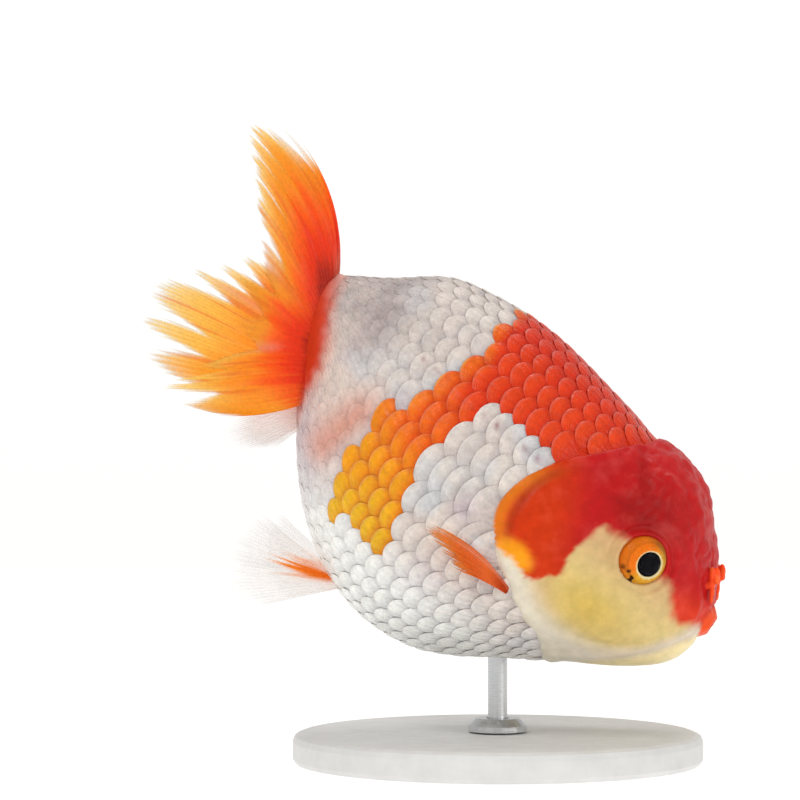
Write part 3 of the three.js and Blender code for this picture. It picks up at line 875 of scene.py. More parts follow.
def steel_material():
    """Brushed steel."""
    s = new_shader("stand_steel")
    stretched = s.node("ShaderNodeMapping", {"Vector": s.place(), "Scale": (1.0, 1.0, 14.0)})
    brushed = s.noise(420.0, 4.0, 0.6, stretched.outputs["Vector"])
    tone = s.range(brushed, 0.3, 0.7, 0.0, 1.0)
    return s.finish(s.principled(
        Base_Color=s.mix(tone, (0.52, 0.53, 0.54), (0.66, 0.665, 0.67)),
        Roughness=s.range(brushed, 0.3, 0.7, 0.24, 0.4),
        Normal=s.bump(brushed, 0.00005, 0.4),
        Metallic=1.0,
    ))


def stage_material():
    """A pale floor that gives a little light, so that it stays even."""
    s = new_shader("stage")
    return s.finish(s.principled(
        Base_Color=(0.45, 0.445, 0.44, 1.0),
        Roughness=0.9,
        Specular_IOR_Level=0.0,
        Emission_Color=(1.0, 0.985, 0.965, 1.0),
        Emission_Strength=0.7,
    ))


# ---- The skin ----

# How far apart the skin's rings are, in mm.
RING_STEP_TRUNK = 1.3
RING_STEP_HEAD = 0.3
RING_STEP_EYE = 0.2
RING_STEP_MOUTH = 0.1
SKIN_SIDES = 292                # points on a ring
EYE_ANGLE = math.radians(66.0)  # where the eyes are round the body
FLESH_NODES = (
    "trunk", "tail_base", "head", "hood", "lower_jaw", "gill_cover_left", "gill_cover_right",
)


def ring_places():
    """Places for the skin's rings, close together on the head and closest round the mouth."""
    table = np.linspace(0.0, LAST_PLACE, 4000)
    x, top, bottom, half_width = section_at(table)[:, :4].T
    run = np.hypot(np.diff(x), np.maximum(np.abs(np.diff(half_width)), np.abs(np.diff(top - bottom)) / 2.0))
    middle = (x[1:] + x[:-1]) / 2.0
    step = mix(RING_STEP_TRUNK, RING_STEP_HEAD, smooth(46.0, 54.0, middle))
    step = mix(step, RING_STEP_EYE, smooth(73.0, 75.5, middle) * smooth(88.5, 86.0, middle))
    step = mix(step, RING_STEP_MOUTH, smooth(97.6, 98.8, middle))
    count = np.concatenate([[0.0], np.cumsum(run / step)])
    return np.interp(np.arange(0.0, count[-1], 1.0), count, table)


def ring_angles():
    """Angles round a ring, closest together at the level of the eyes."""
    table = np.linspace(-math.pi, math.pi, 4000)
    density = 1.0 + 1.3 * bell(np.abs(table) - EYE_ANGLE, 0.3)
    count = np.concatenate([[0.0], np.cumsum((density[1:] + density[:-1]) / 2.0)])
    return np.interp(np.arange(SKIN_SIDES) * count[-1] / SKIN_SIDES, count, table)


def skin_surface(place, angle):
    """Points of the CAD model's surface, and the skin's own: sunk under the scales and shaped on the head."""
    base = body_point(place, angle)
    x, _, z = base.T
    depth = mix(SKIN_DEPTH, HEAD_DEPTH, bare_share(x, z))
    face = eye_relief(base) + hood_relief(base) + face_relief(base) - LOWERED
    relief = mix(form_relief(base), face, head_share(x, z))
    out = (relief - depth) * smooth(-6.4, -2.0, x)
    return base, base + body_normal(place, angle) * out[:, None]


def make_skin():
    """One closed skin over the whole body, in place of the CAD model's flesh."""
    places = ring_places()
    place, angle = (grid.ravel() for grid in np.meshgrid(places, ring_angles(), indexing="ij"))
    base, points = skin_surface(place, angle)
    points = with_ends(shape_mouth(points), SKIN_SIDES)
    skin = new_mesh("skin", to_world(points), closed_faces(len(places), SKIN_SIDES), skin_material())
    set_colour(skin, "colour", body_colour(np.concatenate([base, base[:1], base[-1:]])))
    add_skin_map(skin, place, angle)
    skin.data.flip_normals()
    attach(skin, "root")
    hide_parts(*FLESH_NODES)


def unwrap_place(place, angle):
    """A place on the skin's own unwrap: along the body and round it, cut along the belly."""
    x = section_at(place)[:, 0]
    along = (x - SECTIONS[0, 0]) / (SECTIONS[-1, 0] - SECTIONS[0, 0])
    return on_map(along, (angle / (2.0 * math.pi) + 0.5) % 1.0)


def add_skin_map(skin, place, angle):
    """The unwrap as a UV map, with the faces that cross the cut kept whole."""
    spots = unwrap_place(np.append(place, [place[0], place[-1]]), np.append(angle, [0.0, 0.0]))
    corners = spots[corner_vertices(skin)]
    starts = whole_numbers(skin.data.polygons, "loop_start")
    counts = whole_numbers(skin.data.polygons, "loop_total")
    turn = corners[:, 1]
    crossing = np.maximum.reduceat(turn, starts) - np.minimum.reduceat(turn, starts) > 0.5
    corners[:, 1] = np.where(np.repeat(crossing, counts) & (turn < 0.5), 1.0 - MAP_MARGIN, turn)
    set_map(skin, "unwrap", corners)


# ---- The scales ----

SCALES_FROM = -4.2      # the x of their first row, and where the last ones lie under the throat
SCALES_TO = 84.0
SCALE_COLUMNS = 34
PORED_COLUMNS = (6, SCALE_COLUMNS - 6)      # those with pores, along the middle of each flank
SCALE_ROWS = 11         # points along a scale, and across it
SCALE_WIDE = 11
SCALE_THICKNESS = 0.13
SCALE_FRONT = 1.15      # how far a scale reaches forwards and backwards from its middle, in pitches
SCALE_REAR = 1.04
SCALE_HALF = 0.66       # and across, in column widths
PATCH = 0.003           # the size of a scale's patch on the unwrap

# The pale colour of a scale's rear rim, partly its own and partly a painted sheen.
PEARL_AND_SHEEN = linear("F4EEE8")
PORE = linear("8E4656")
# Painted shade: what a scale's colour is multiplied by where the next ones overlap it, on the ground and on
# the saddle, and at the rear edge of the saddle's scales.
GROUND_PAINTED_SHADE = np.array([0.76, 0.75, 0.78])
SADDLE_PAINTED_SHADE = np.array([0.8, 0.46, 0.36])
EDGE_PAINTED_SHADE = np.array([0.84, 0.6, 0.45])


def scale_pitch(x):
    """The spacing of scales along the body."""
    return 2.5 + 0.95 * smooth(0.0, 22.0, x) - 0.75 * smooth(56.0, 78.0, x)


def scale_stations():
    """The x of each row of scales, from the tail to the throat."""
    stations = [SCALES_FROM]
    while stations[-1] < SCALES_TO:
        stations.append(stations[-1] + scale_pitch(stations[-1]))
    return np.array(stations)


def scale_lattice():
    """The middle of each scale as its x and its angle, with its pitch, its column and its row."""
    stations = scale_stations()
    grids = np.meshgrid(np.arange(SCALE_COLUMNS), np.arange(len(stations) - 1), indexing="ij")
    column, row = (grid.ravel() for grid in grids)
    x = mix(stations[row], stations[row + 1], 0.5 * (column % 2))
    angle = 2.0 * math.pi * column / SCALE_COLUMNS
    middle = body_point(place_at_x(x), angle)
    kept = HEAD_EDGE.away(middle[:, 0], middle[:, 2]) < 0.9
    kept &= TAIL_EDGE.away(middle[:, 0], middle[:, 2]) > 0.6
    return np.stack([x, angle, scale_pitch(x), column, row], axis=1)[kept]


def scale_plan():
    """A scale's outline filled with points: the share from front to rear, and the share across."""
    front = -np.cos(np.linspace(0.0, math.pi, SCALE_ROWS))
    side = np.sin(np.linspace(-math.pi / 2.0, math.pi / 2.0, SCALE_WIDE))
    along, across = (grid.ravel() for grid in np.meshgrid(front, side, indexing="ij"))
    return along * np.sqrt(1.0 - 0.5 * across**2), across * np.sqrt(1.0 - 0.5 * along**2)


def scale_jitter(lattice, seed):
    """An own number from -0.5 to 0.5 for each scale."""
    return (hash_unit(lattice[:, 3], lattice[:, 4], seed) - 0.5)[:, None]


def scale_growth(x, z):
    """0 near the tail, where the scales lie in the skin, and 1 where they stand free."""
    return smooth(11.0, 31.0, x + 0.34 * np.clip(z + 6.0, -30.0, 16.0))


def scale_ground(lattice, across, back):
    """The body's surface and the direction out of it, at every point of every scale."""
    x, angle, pitch = lattice[:, :3].T[..., None]
    jitter = scale_jitter(lattice, 71)
    reach = pitch * back * (1.0 + 0.08 * jitter)
    place = place_at_x((x - reach + 0.125 * scale_jitter(lattice, 72)).ravel())
    spread = 2.0 * math.pi / SCALE_COLUMNS * SCALE_HALF
    turn = (angle + across * spread * (1.0 + 0.06 * jitter)).ravel()
    return body_point(place, turn), body_normal(place, turn)


def scale_height(lattice, base, across, back):
    """How high every point of every scale stands over the body's surface, in mm."""
    x, angle = lattice[:, 0], lattice[:, 1]
    middle = body_point(place_at_x(x), angle)
    grown = scale_growth(x, middle[:, 2])
    flank = smooth(0.35, 1.2, np.abs((angle + math.pi) % (2.0 * math.pi) - math.pi))
    bulge = (0.16 + 0.3 * flank) * mix(0.12, 1.0, grown) + 0.16 * saddle_share(middle)
    dome = np.clip(1.0 - ((back - 0.42) / 0.78) ** 2 - (across / 0.98) ** 2, 0.0, 1.0) ** 0.8
    to_rear = (back + SCALE_FRONT) / (SCALE_FRONT + SCALE_REAR)
    tilt = (0.5 + mix(-0.17, 0.07, grown))[:, None] * to_rear - 0.5
    height = dome * bulge[:, None] + tilt + 0.05 * scale_jitter(lattice, 71)
    under_the_head = 0.9 * smooth(0.4, 2.6, HEAD_EDGE.away(base[:, 0], base[:, 2]))
    return height.ravel() + form_relief(base) - SCALE_DEPTH - under_the_head


def make_scales(lattice, name, material):
    """One joined mesh of closed, domed plates."""
    along, across = scale_plan()
    back = np.where(along > 0.0, SCALE_REAR * along, SCALE_FRONT * along)
    count, size = len(lattice), len(along)
    base, normal = scale_ground(lattice, across, back)
    height = scale_height(lattice, base, across, back)
    thin = np.sqrt(np.clip(1.0 - along**2, 0.05, 1.0) * np.clip(1.0 - across**2, 0.05, 1.0))
    depth = height - np.tile(SCALE_THICKNESS * thin, count)
    top, under = (base + normal * level[:, None] for level in (height, depth))
    points = np.concatenate([top.reshape(count, size, 3), under.reshape(count, size, 3)], axis=1)
    starts = 2 * size * np.arange(count)
    faces = (plate_faces(SCALE_ROWS, SCALE_WIDE) + starts[:, None, None]).reshape(-1, 4)
    scales = new_mesh(name, to_world(points.reshape(-1, 3)), faces.tolist(), material)

    colours = scale_colours(lattice, base, across, back)
    set_colour(scales, "colour", np.concatenate([colours, colours], axis=1).reshape(-1, 3))
    rim = np.clip(back / SCALE_REAR, 0.0, 1.0) ** 2 + 0.6 * across**2
    set_number(scales, "rim", np.tile(rim, 2 * count))
    set_number(scales, "spoke", np.tile(np.arctan2(1.2 * across, back + 1.5), 2 * count))
    add_scale_map(scales, lattice, along, across)
    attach(scales, "root")


def scale_colours(lattice, base, across, back):
    """Each scale is of the saddle or of the ground by its middle, with painted shade where the next ones
    overlap it.
    """
    x, angle, pitch, column, row = lattice.T
    middle = body_point(place_at_x(x - 0.45 * pitch), angle)
    coloured = saddle_share(middle)[:, None]
    grown = scale_growth(x, middle[:, 2])[:, None]
    ground = trunk_colour(base).reshape(-1, len(back), 3)
    pattern = saddle_colour(base).reshape(-1, len(back), 3)
    colours = blend(ground, pattern, coloured) * (0.96 + 0.07 * hash_unit(column, row, 74))[:, None, None]
    # Painted shade: darker towards each scale's front and its sides, where the next scales overlap it.
    painted_shade_share = np.maximum(smooth(0.55, 0.0, back), 0.7 * smooth(0.55, 0.8, np.abs(across)))
    shade = mix(GROUND_PAINTED_SHADE, SADDLE_PAINTED_SHADE, coloured)[:, None]
    colours = blend(colours, colours * shade, painted_shade_share * mix(0.25, 1.0, grown))
    # Painted shade: a darker line along the rear edge of the saddle's scales.
    edge = smooth(0.8, 1.0, back / SCALE_REAR)
    colours = blend(colours, colours * EDGE_PAINTED_SHADE, 0.6 * edge * coloured)
    # The ground's scales pale towards their rear rim: partly their own colour, partly a painted sheen.
    colours = blend(colours, PEARL_AND_SHEEN, 0.35 * edge * (1.0 - coloured) * grown)
    colours = blend(colours, AMBER, 0.8 * edge * coloured * saddle_rim(middle)[:, None])
    pored = (np.isin(column, PORED_COLUMNS) & (x > 22.0))[:, None]
    behind = back - 0.55 - 0.3 * scale_jitter(lattice, 76)
    aside = across - 0.5 * scale_jitter(lattice, 75)
    depth = (0.35 + 0.5 * hash_unit(column, row, 77))[:, None] * (1.0 - 0.7 * coloured)
    return blend(colours, PORE, bell(5.4 * behind, 1.0) * bell(6.4 * aside, 1.0) * pored * depth)


def add_scale_map(scales, lattice, along, across):
    """The bake's map: each scale is a small patch at its own place on the skin's unwrap."""
    middle = unwrap_place(place_at_x(lattice[:, 0]), lattice[:, 1])
    spots = middle[:, None] + np.stack([along, across], axis=1) * PATCH / 2.0
    spots = np.concatenate([spots, spots], axis=1).reshape(-1, 2)
    set_map(scales, "OFBake", spots[corner_vertices(scales)])


def make_coat():
    """The scales of the left side, of the right side, and of the rows along the back and the belly."""
    material = scale_material()
    lattice = scale_lattice()
    aside = np.sin(lattice[:, 1])
    for name, side in SIDES:
        make_scales(lattice[aside * side > 0.01], f"scales_{name}", material)
    make_scales(lattice[np.abs(aside) < 0.01], "scales_middle", material)


# ---- The fins ----

# Each fin is a fan of rays over the share t, from 0 to 1 along a root between two points. By even steps of t
# its lists give how the rays head (in degrees above straight back), turn along their length and lean
# outwards, how long they are, how ragged the edge is and how wide its gaps open. On the tail, "late" puts its
# colours further out, "fork" shortens the rays at the fork, and "folded" clears a fold. A cup bows the fan
# sideways.
TAIL = {
    "root": [(-4.9, 0.9, 10.2), (6.4, 6.0, -14.4)], "cup": 3.0, "rays": 38, "rows": 72, "fork": 0.2,
    "slot": "fin_orange",
}
FINS = {
    "pectoral_fin": {
        "root": [(63.2, 24.5, -15.0), (63.8, 24.2, -16.8)], "cup": 2.0, "rays": 13, "rows": 44, "fork": 0.0,
        "slot": "fin_orange", "bundles": 5, "ragged": [0.14, 0.14], "gaps": [0.4, 0.4],
        "heading": [18, 12, 5, 0, -5], "turn": [-30, -22, -14, -8, -4], "lean": [12, 16, 20, 24, 28],
        "length": [19, 20, 18.5, 15.5, 12],
    },
    "pelvic_fin": {
        "root": [(31.8, 5.0, -38.4), (35.2, 7.0, -39.6)], "cup": 2.5, "rays": 14, "rows": 44, "fork": 0.0,
        "slot": "fin_pale", "bundles": 6, "ragged": [0.16, 0.16], "gaps": [0.8, 0.8],
        "heading": [4, -9, -23, -37, -51], "turn": [4, 0, -2, -2, 0], "lean": [10, 13, 17, 21, 25],
        "length": [21, 23.5, 24, 23.5, 20],
    },
    "anal_fin": {
        "root": [(5.0, 1.6, -15.0), (7.8, 2.4, -19.6)], "cup": 1.2, "rays": 11, "rows": 44, "fork": 0.0,
        "slot": "fin_pale", "bundles": 4, "ragged": [0.1, 0.1], "gaps": [0.7, 0.7],
        "heading": [-50, -55, -60, -66, -72], "turn": [-4, -2, 0, 2, 4], "lean": [14, 16, 18, 20, 22],
        "length": [15.5, 18, 17, 14, 9],
    },
    "tail_right": {
        **TAIL, "bundles": 13, "folded": 0.75,
        "ragged": [0.06, 0.04, 0.03, 0.03, 0.06, 0.2, 0.16, 0.16, 0.16, 0.14, 0.08],
        "gaps": [0.6, 0.12, 0.05, 0.06, 0.2, 0.7, 0.75, 0.6, 0.55, 0.5, 0.3],
        "late": [-0.06, 0.04, 0.12, 0.08, 0.0, 0.02, 0.04, -0.06, -0.16, -0.26, -0.34],
        "heading": [60, 56, 47.5, 39, 30, 8, -22, -33, -42, -51, -60],
        "turn": [-66, -58, -42, -24, -14, -14, -22, -16, 4, 18, 34],
        "lean": [1, 3, 5, 7, 9, 12, 18, 24, 28, 31, 33],
        "length": [39.2, 40.5, 39.6, 34.8, 27.6, 23, 19, 28, 31.5, 30, 22],
    },
    "tail_left": {
        **TAIL, "bundles": 14, "folded": 0.0,
        "ragged": [0.06, 0.05, 0.04, 0.04, 0.07, 0.2, 0.24, 0.24, 0.2, 0.2, 0.2],
        "gaps": [0.8, 0.5, 0.12, 0.12, 0.25, 0.6, 0.62, 0.5, 0.5, 0.55, 0.7],
        "late": [0.0, 0.04, 0.06, 0.04, 0.0, -0.02, -0.1, -0.2, -0.24, -0.2, -0.14],
        "heading": [62.5, 58, 48, 39, 30, 12, -1, -8, -14, -22, -31],
        "turn": [-66, -58, -42, -24, -14, -12, -10, -8, -6, -3, 0],
        "lean": [1, 3, 5, 7, 10, 13, 15, 17, 19, 21, 24],
        "length": [38.6, 39.4, 38.8, 34, 27.4, 30, 40, 48.6, 50.4, 50.2, 42],
    },
}
FORK_AT = 0.45
FORK_WIDTH = 0.035
RAY_STEPS = 8
FIN_ROOT = -0.07        # how far before its root line a fin starts, inside the flesh
RAY_COLUMNS = 8         # columns of vertices for each ray
FIN_SEED = 100
TAIL_SEED = 140


def along_list(values, t):
    """A smooth run through evenly spaced values."""
    values = np.array(values, dtype=float)
    last = len(values) - 1
    place = np.clip(t, 0.0, 1.0) * last
    first = np.minimum(place.astype(int), last - 1)
    around = [values[np.clip(first + k, 0, last)] for k in (-1, 0, 1, 2)]
    return catmull_rom(*around, place - first)


def fin_points(fin, t, u, side):
    """The middle surface of a fin: t across its rays and u along them."""
    start, end = np.array(fin["root"])
    point = start + (end - start) * t[:, None]
    length = along_list(fin["length"], t) * (1.0 - fin["fork"] * bell(t - FORK_AT, FORK_WIDTH))
    lean = np.radians(along_list(fin["lean"], t))
    step = length * u / RAY_STEPS
    for i in range(RAY_STEPS):
        share = u * (i + 0.5) / RAY_STEPS
        heading = np.radians(along_list(fin["heading"], t) + along_list(fin["turn"], t) * share)
        way = [-np.cos(heading) * np.cos(lean), np.sin(lean), np.sin(heading) * np.cos(lean)]
        point = point + step[:, None] * np.stack(way, axis=1)
    point[:, 1] += fin["cup"] * u**2 * np.sin(math.pi * t)
    return point * (1.0, side, 1.0)


def ray_pattern(fin, t, u):
    """1 on a ray and 0 between rays: each ray forks once on its way out."""
    near = 0.5 + 0.5 * np.cos(2.0 * math.pi * fin["rays"] * t)
    far = 0.5 + 0.5 * np.cos(4.0 * math.pi * fin["rays"] * t)
    return mix(near**1.5, far, smooth(0.3, 0.6, u))


def fin_noise(across, along, seed, layer, size=1.0):
    """Noise over a fin, in streaks as narrow as its places are spread."""
    return noise(np.stack([across, along, np.full_like(across, seed)], axis=1), size, seed + layer)


def fin_bundles(fin, t, u, seed):
    """Rays keep together in uneven bundles: which one each point is in, and how far it is from its middle."""
    uneven = 0.45 * np.sin(t * 9.0 + seed) + 0.25 * np.sin(t * 23.0 + 2.0 * seed)
    uneven += 0.6 * fin_noise(t * 5.0, u * 1.1, seed, 3) * smooth(0.0, 0.6, u)
    place = t * fin["bundles"] + uneven + 0.8
    which = np.floor(place)
    return which, np.abs(place - which - 0.5) * 2.0


def fin_reach(fin, t, u, seed):
    """How much of its full length each ray has: bundles end in points, for a ragged edge."""
    which, off = fin_bundles(fin, t, u, seed)
    fine = 0.5 + 0.5 * fin_noise(t * fin["rays"], 0.0 * t, seed, 1, 0.5)
    shorter = 0.35 * hash_unit(which, 0, seed) + 0.45 * off**2 + 0.2 * fine
    return 1.0 - along_list(fin["ragged"], t) * shorter


def fin_wave(fin, t, u, seed):
    """Soft waves and pleats across the membrane, in mm, growing outwards."""
    _, off = fin_bundles(fin, t, u, seed)
    size = 0.35 + 0.02 * fin["rays"]
    return size * smooth(0.1, 0.8, u) * (fin_noise(t * 7.0, u * 1.3, seed, 0) + 0.25 - 0.5 * off**2)


def fin_sheet(fin, t, u, shape, side, seed):
    """A fin's middle surface with its ragged edge and its waves, and the direction out of it."""
    reach = mix(1.0, fin_reach(fin, t, u, seed), smooth(0.2, 1.0, u))
    surface = fin_points(fin, t, u * reach, side)
    grid = surface.reshape(*shape, 3)
    normal = np.cross(np.gradient(grid, axis=0), np.gradient(grid, axis=1)).reshape(-1, 3)
    normal *= -side / np.maximum(np.linalg.norm(normal, axis=1), 1e-9)[:, None]
    return surface + normal * fin_wave(fin, t, u, seed)[:, None], normal


def make_fin(name, kind, side, nodes, material, seed):
    """A closed thin sheet with raised rays, ragged at its edge."""
    fin = FINS[kind]
    shape = (fin["rows"], fin["rays"] * RAY_COLUMNS + 1)
    grids = np.meshgrid(*(np.linspace(0.0, 1.0, number) for number in shape), indexing="ij")
    share, t = (grid.ravel() for grid in grids)
    u = mix(FIN_ROOT, 1.0, share)
    surface, normal = fin_sheet(fin, t, u, shape, side, seed)
    rays = ray_pattern(fin, t, u)
    half = mix(0.42, 0.05, smooth(-0.1, 0.7, u)) + rays * mix(0.13, 0.03, np.clip(u, 0.0, 1.0))
    half *= 0.2 + 0.8 * smooth(0.0, 0.012, t) * smooth(1.0, 0.988, t)
    points = np.concatenate([surface + normal * half[:, None], surface - normal * half[:, None]])
    faces = plate_faces(*shape)
    faces = faces[:, ::-1] if side > 0.0 else faces
    piece = new_mesh(name, to_world(points), faces.tolist(), material)
    colours, cover = PAINTERS[kind](fin, t, u, rays, seed)
    set_colour(piece, "colour", np.concatenate([colours, colours]))
    set_number(piece, "cover", np.concatenate([cover, cover]))
    set_number(piece, "ray", np.concatenate([rays, rays]))
    set_map(piece, "unwrap", np.tile(on_map(t, share), (2, 1))[corner_vertices(piece)])
    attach(piece, "root")
    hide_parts(*nodes)


TAIL_DEEP = linear("F64E16")
TAIL_MIDDLE = linear("FF801C")
TAIL_OUTER = linear("FFBE3A")
TAIL_TIP = linear("FFDC6C")
TAIL_YELLOW = linear("FFC024")
TAIL_STREAK = linear("EE6A1A")
FIN_WHITE = linear("FFFBF8")
# Pale pink of thin fin rays and of the tail's root edge, also used for a painted highlight on the tail.
FIN_PINK_AND_HIGHLIGHT = linear("F3BFA8")
PECTORAL = linear("FF9230")
PECTORAL_TIP = linear("FFB040")
PECTORAL_RAY = linear("E0601C")
PECTORAL_ROOT = linear("DC4A1C")
PECTORAL_HIGHLIGHT = linear("FBC4A0")
FLAME = linear("FF9C24")
FLAME_ROOT = linear("EE701C")


def fade_out(fin, t, u, rays, start, seed):
    """How solid a fin is: it thins between its bundles and its rays, and at its tips."""
    which, off = fin_bundles(fin, t, u, seed)
    thin = smooth(start, 1.0, u)
    gaps = along_list(fin["gaps"], t)
    left = 1.0 - gaps * thin
    gap = smooth(left - 0.34, left + 0.3, off) * (1.0 - 0.35 * rays * smooth(1.1, 0.7, off))
    early = 0.08 * hash_unit(which, 0, seed + 9) * gaps
    strand = 0.08 * hash_unit(np.floor(2.0 * fin["rays"] * t + 0.5), 0, seed + 11)
    tips = smooth(0.94 - early - strand, 1.0 - 0.5 * strand, u)
    between = (0.22 * thin + 0.4 * smooth(0.8, 1.0, u)) * (1.0 - rays)
    softer = 0.62 * gaps * smooth(0.5, 1.0, u) + 0.12 * smooth(0.7, 1.0, u)
    return np.clip(1.0 - gap * smooth(0.0, 0.3, thin) - between - softer, 0.0, 1.0) * (1.0 - tips)


def paint_tail(fin, t, u, rays, seed):
    """Red at its root, then orange and golden yellow, in streaks, with a painted highlight just past the
    fork.
    """
    which, _ = fin_bundles(fin, t, u, seed)
    streak = fin_noise(t * 60.0, u * 1.8, seed, 7)
    uneven = 0.14 * (hash_unit(which, 0, seed + 8) - 0.5) * smooth(0.1, 0.5, u)
    out = u + 0.08 * streak + uneven - along_list(fin["late"], t)
    # A painted highlight: a pinkish-white streak on the lower lobe just past the fork.
    shine = bell(t - FORK_AT - 0.16, 0.018) * smooth(0.3, 0.5, u) * smooth(0.9, 0.7, u)
    pale = smooth(0.13, 0.04, t) * smooth(0.6, 0.82, u)
    colours = layered(
        TAIL_ROOT, len(t),
        (TAIL_DEEP, smooth(0.0, 0.15, out)),
        (TAIL_MIDDLE, smooth(0.18, 0.4, out)),
        (TAIL_OUTER, smooth(0.34, 0.6, out)),
        (TAIL_TIP, smooth(0.58, 0.9, out)),
        (TAIL_YELLOW, smooth(0.86, 0.97, t) * smooth(0.1, 0.4, u)),
        (TAIL_STREAK, 0.45 * smooth(0.1, 0.7, streak) * smooth(0.2, 0.45, u)),
        (TAIL_STREAK, 0.2 * rays * smooth(0.1, 0.4, u) * smooth(1.0, 0.7, u)),
        (FIN_PINK_AND_HIGHLIGHT, 0.5 * shine),
        (FIN_WHITE, 0.75 * pale),
        (FIN_PINK_AND_HIGHLIGHT, 0.45 * smooth(0.12, 0.0, t) * smooth(0.26, 0.04, u)),
        (ROOT_RED, 0.5 * smooth(0.12, 0.02, u) * smooth(0.05, 0.2, t) * smooth(0.8, 0.55, t)),
    )
    folded = fin["folded"] * bell(t - 0.55, 0.07) * smooth(0.4, 0.95, u)
    kept = (1.0 - folded) * (1.0 - 0.6 * pale) * smooth(-0.02, 0.085, u)
    return colours, fade_out(fin, t, u, rays, 0.5, seed) * kept


def paint_pectoral(fin, t, u, rays, seed):
    """Orange, redder at its root, with a painted highlight as a pale streak near its upper edge."""
    colours = layered(
        PECTORAL, len(t),
        (PECTORAL_TIP, smooth(0.4, 0.9, u)),
        (PECTORAL_RAY, 0.6 * rays * smooth(0.1, 0.4, u)),
        (PECTORAL_ROOT, 0.6 * smooth(0.25, 0.0, u)),
        # Painted highlight: a pale streak near the upper edge.
        (PECTORAL_HIGHLIGHT, 0.65 * bell(t - 0.14, 0.08) * smooth(0.9, 0.5, u)),
    )
    return colours, fade_out(fin, t, u, rays, 0.6, seed)


def paint_pelvic(fin, t, u, rays, seed):
    """Clear and whitish, with an orange flame from its root."""
    _, off = fin_bundles(fin, t, u, seed)
    flame = smooth(0.72 - 0.3 * off, 0.3 - 0.2 * off, u)
    orange = bell(t - 0.42, 0.15) * flame * smooth(-0.05, 0.05, u)
    colours = layered(
        FIN_WHITE, len(t),
        (FIN_PINK_AND_HIGHLIGHT, 0.15 * rays),
        (FLAME, np.clip(1.6 * orange, 0.0, 1.0)),
        (FLAME_ROOT, orange * (0.3 + 0.5 * rays) * smooth(0.5, 0.1, u)),
    )
    cover = (0.12 + 0.22 * rays) * smooth(1.0, 0.6, u) + 0.3 * smooth(0.3, 0.0, u) + 0.9 * orange
    return colours, np.clip(cover, 0.0, 1.0) * smooth(1.02, 0.8, u)


def paint_anal(fin, t, u, rays, seed):
    """Clear and whitish."""
    colours = layered(FIN_WHITE, len(t), (FIN_PINK_AND_HIGHLIGHT, 0.3 * rays))
    cover = (0.14 + 0.2 * rays) * smooth(1.0, 0.5, u) + 0.3 * smooth(0.4, 0.0, u)
    return colours, np.clip(cover, 0.0, 1.0)


PAINTERS = {
    "pectoral_fin": paint_pectoral,
    "pelvic_fin": paint_pelvic,
    "anal_fin": paint_anal,
    "tail_left": paint_tail,
    "tail_right": paint_tail,
}


def make_fins():
    """The small fins in pairs, and the two halves of the tail, each in place of its two CAD lobes."""
    material = fin_material()
    for number, kind in enumerate(("pectoral_fin", "pelvic_fin", "anal_fin")):
        for side_name, side in SIDES:
            name = f"{kind}_{side_name}"
            make_fin(f"{name}_skin", kind, side, [name], material, FIN_SEED + 10 * number + int(side))
    for side_name, side in SIDES:
        nodes = [f"tail_upper_{side_name}", f"tail_lower_{side_name}"]
        kind = f"tail_{side_name}"
        make_fin(f"{kind}_skin", kind, side, nodes, material, TAIL_SEED + int(side))


# ---- The eyes ----

EYE_BALL = 5.8
IRIS_RADIUS = 5.45
PUPIL_RADIUS = 2.56
EYE_SIDES = 144
BEHIND_IRIS = 20        # how many rings of the eyeball have the plain gold of its back
CORNEA_THIN = 0.985     # how much smaller the dome's inside is


def eye_turns():
    """Angles round the eye's axis."""
    return 2.0 * math.pi * np.arange(EYE_SIDES) / EYE_SIDES


def revolve(name, profile, side, material):
    """A surface turned round the eye's axis from radii and depths, closed at both ends."""
    front = np.cross((0.0, 0.0, 1.0), GAZE_AXIS)
    front /= np.linalg.norm(front)
    up = np.cross(GAZE_AXIS, front)
    turn = eye_turns()[:, None]
    across = np.sin(turn) * up - np.cos(turn) * front
    rings = [EYE_CENTRE + across * radius + GAZE_AXIS * depth for radius, depth in profile]
    points = with_ends(np.concatenate(rings) * (1.0, side, 1.0), EYE_SIDES)
    faces = closed_faces(len(profile), EYE_SIDES)
    faces = [face[::-1] for face in faces] if side < 0.0 else faces
    return new_mesh(name, to_world(points), faces, material)


def eyeball_profile():
    """From the back of the eyeball over its white to the iris and the lens in the pupil."""
    back = [(EYE_BALL * math.sin(a), -EYE_BALL * math.cos(a)) for a in np.linspace(0.05, 0.5 * math.pi, 14)]
    edge = math.acos(IRIS_RADIUS / EYE_BALL)
    front = [(EYE_BALL * math.cos(a), EYE_BALL * math.sin(a)) for a in np.linspace(0.06, edge, 12)]
    iris = []
    for share in np.linspace(0.03, 1.0, 34):
        radius = mix(IRIS_RADIUS, PUPIL_RADIUS, share)
        ball = math.sqrt(EYE_BALL**2 - radius**2)
        groove = 0.16 * bell(share - 0.42, 0.16)
        iris.append((radius, ball - 0.65 * share**1.5 - groove))
    depth = iris[-1][1]
    lens = [(PUPIL_RADIUS - 0.06, depth - 0.16), (PUPIL_RADIUS - 0.14, depth - 0.3)]
    for share in np.linspace(0.1, 0.97, 12):
        radius = (PUPIL_RADIUS - 0.16) * math.cos(share * math.pi / 2.0)
        lens.append((radius, depth - 0.32 + 0.62 * math.sin(share * math.pi / 2.0)))
    return back + front + iris + lens


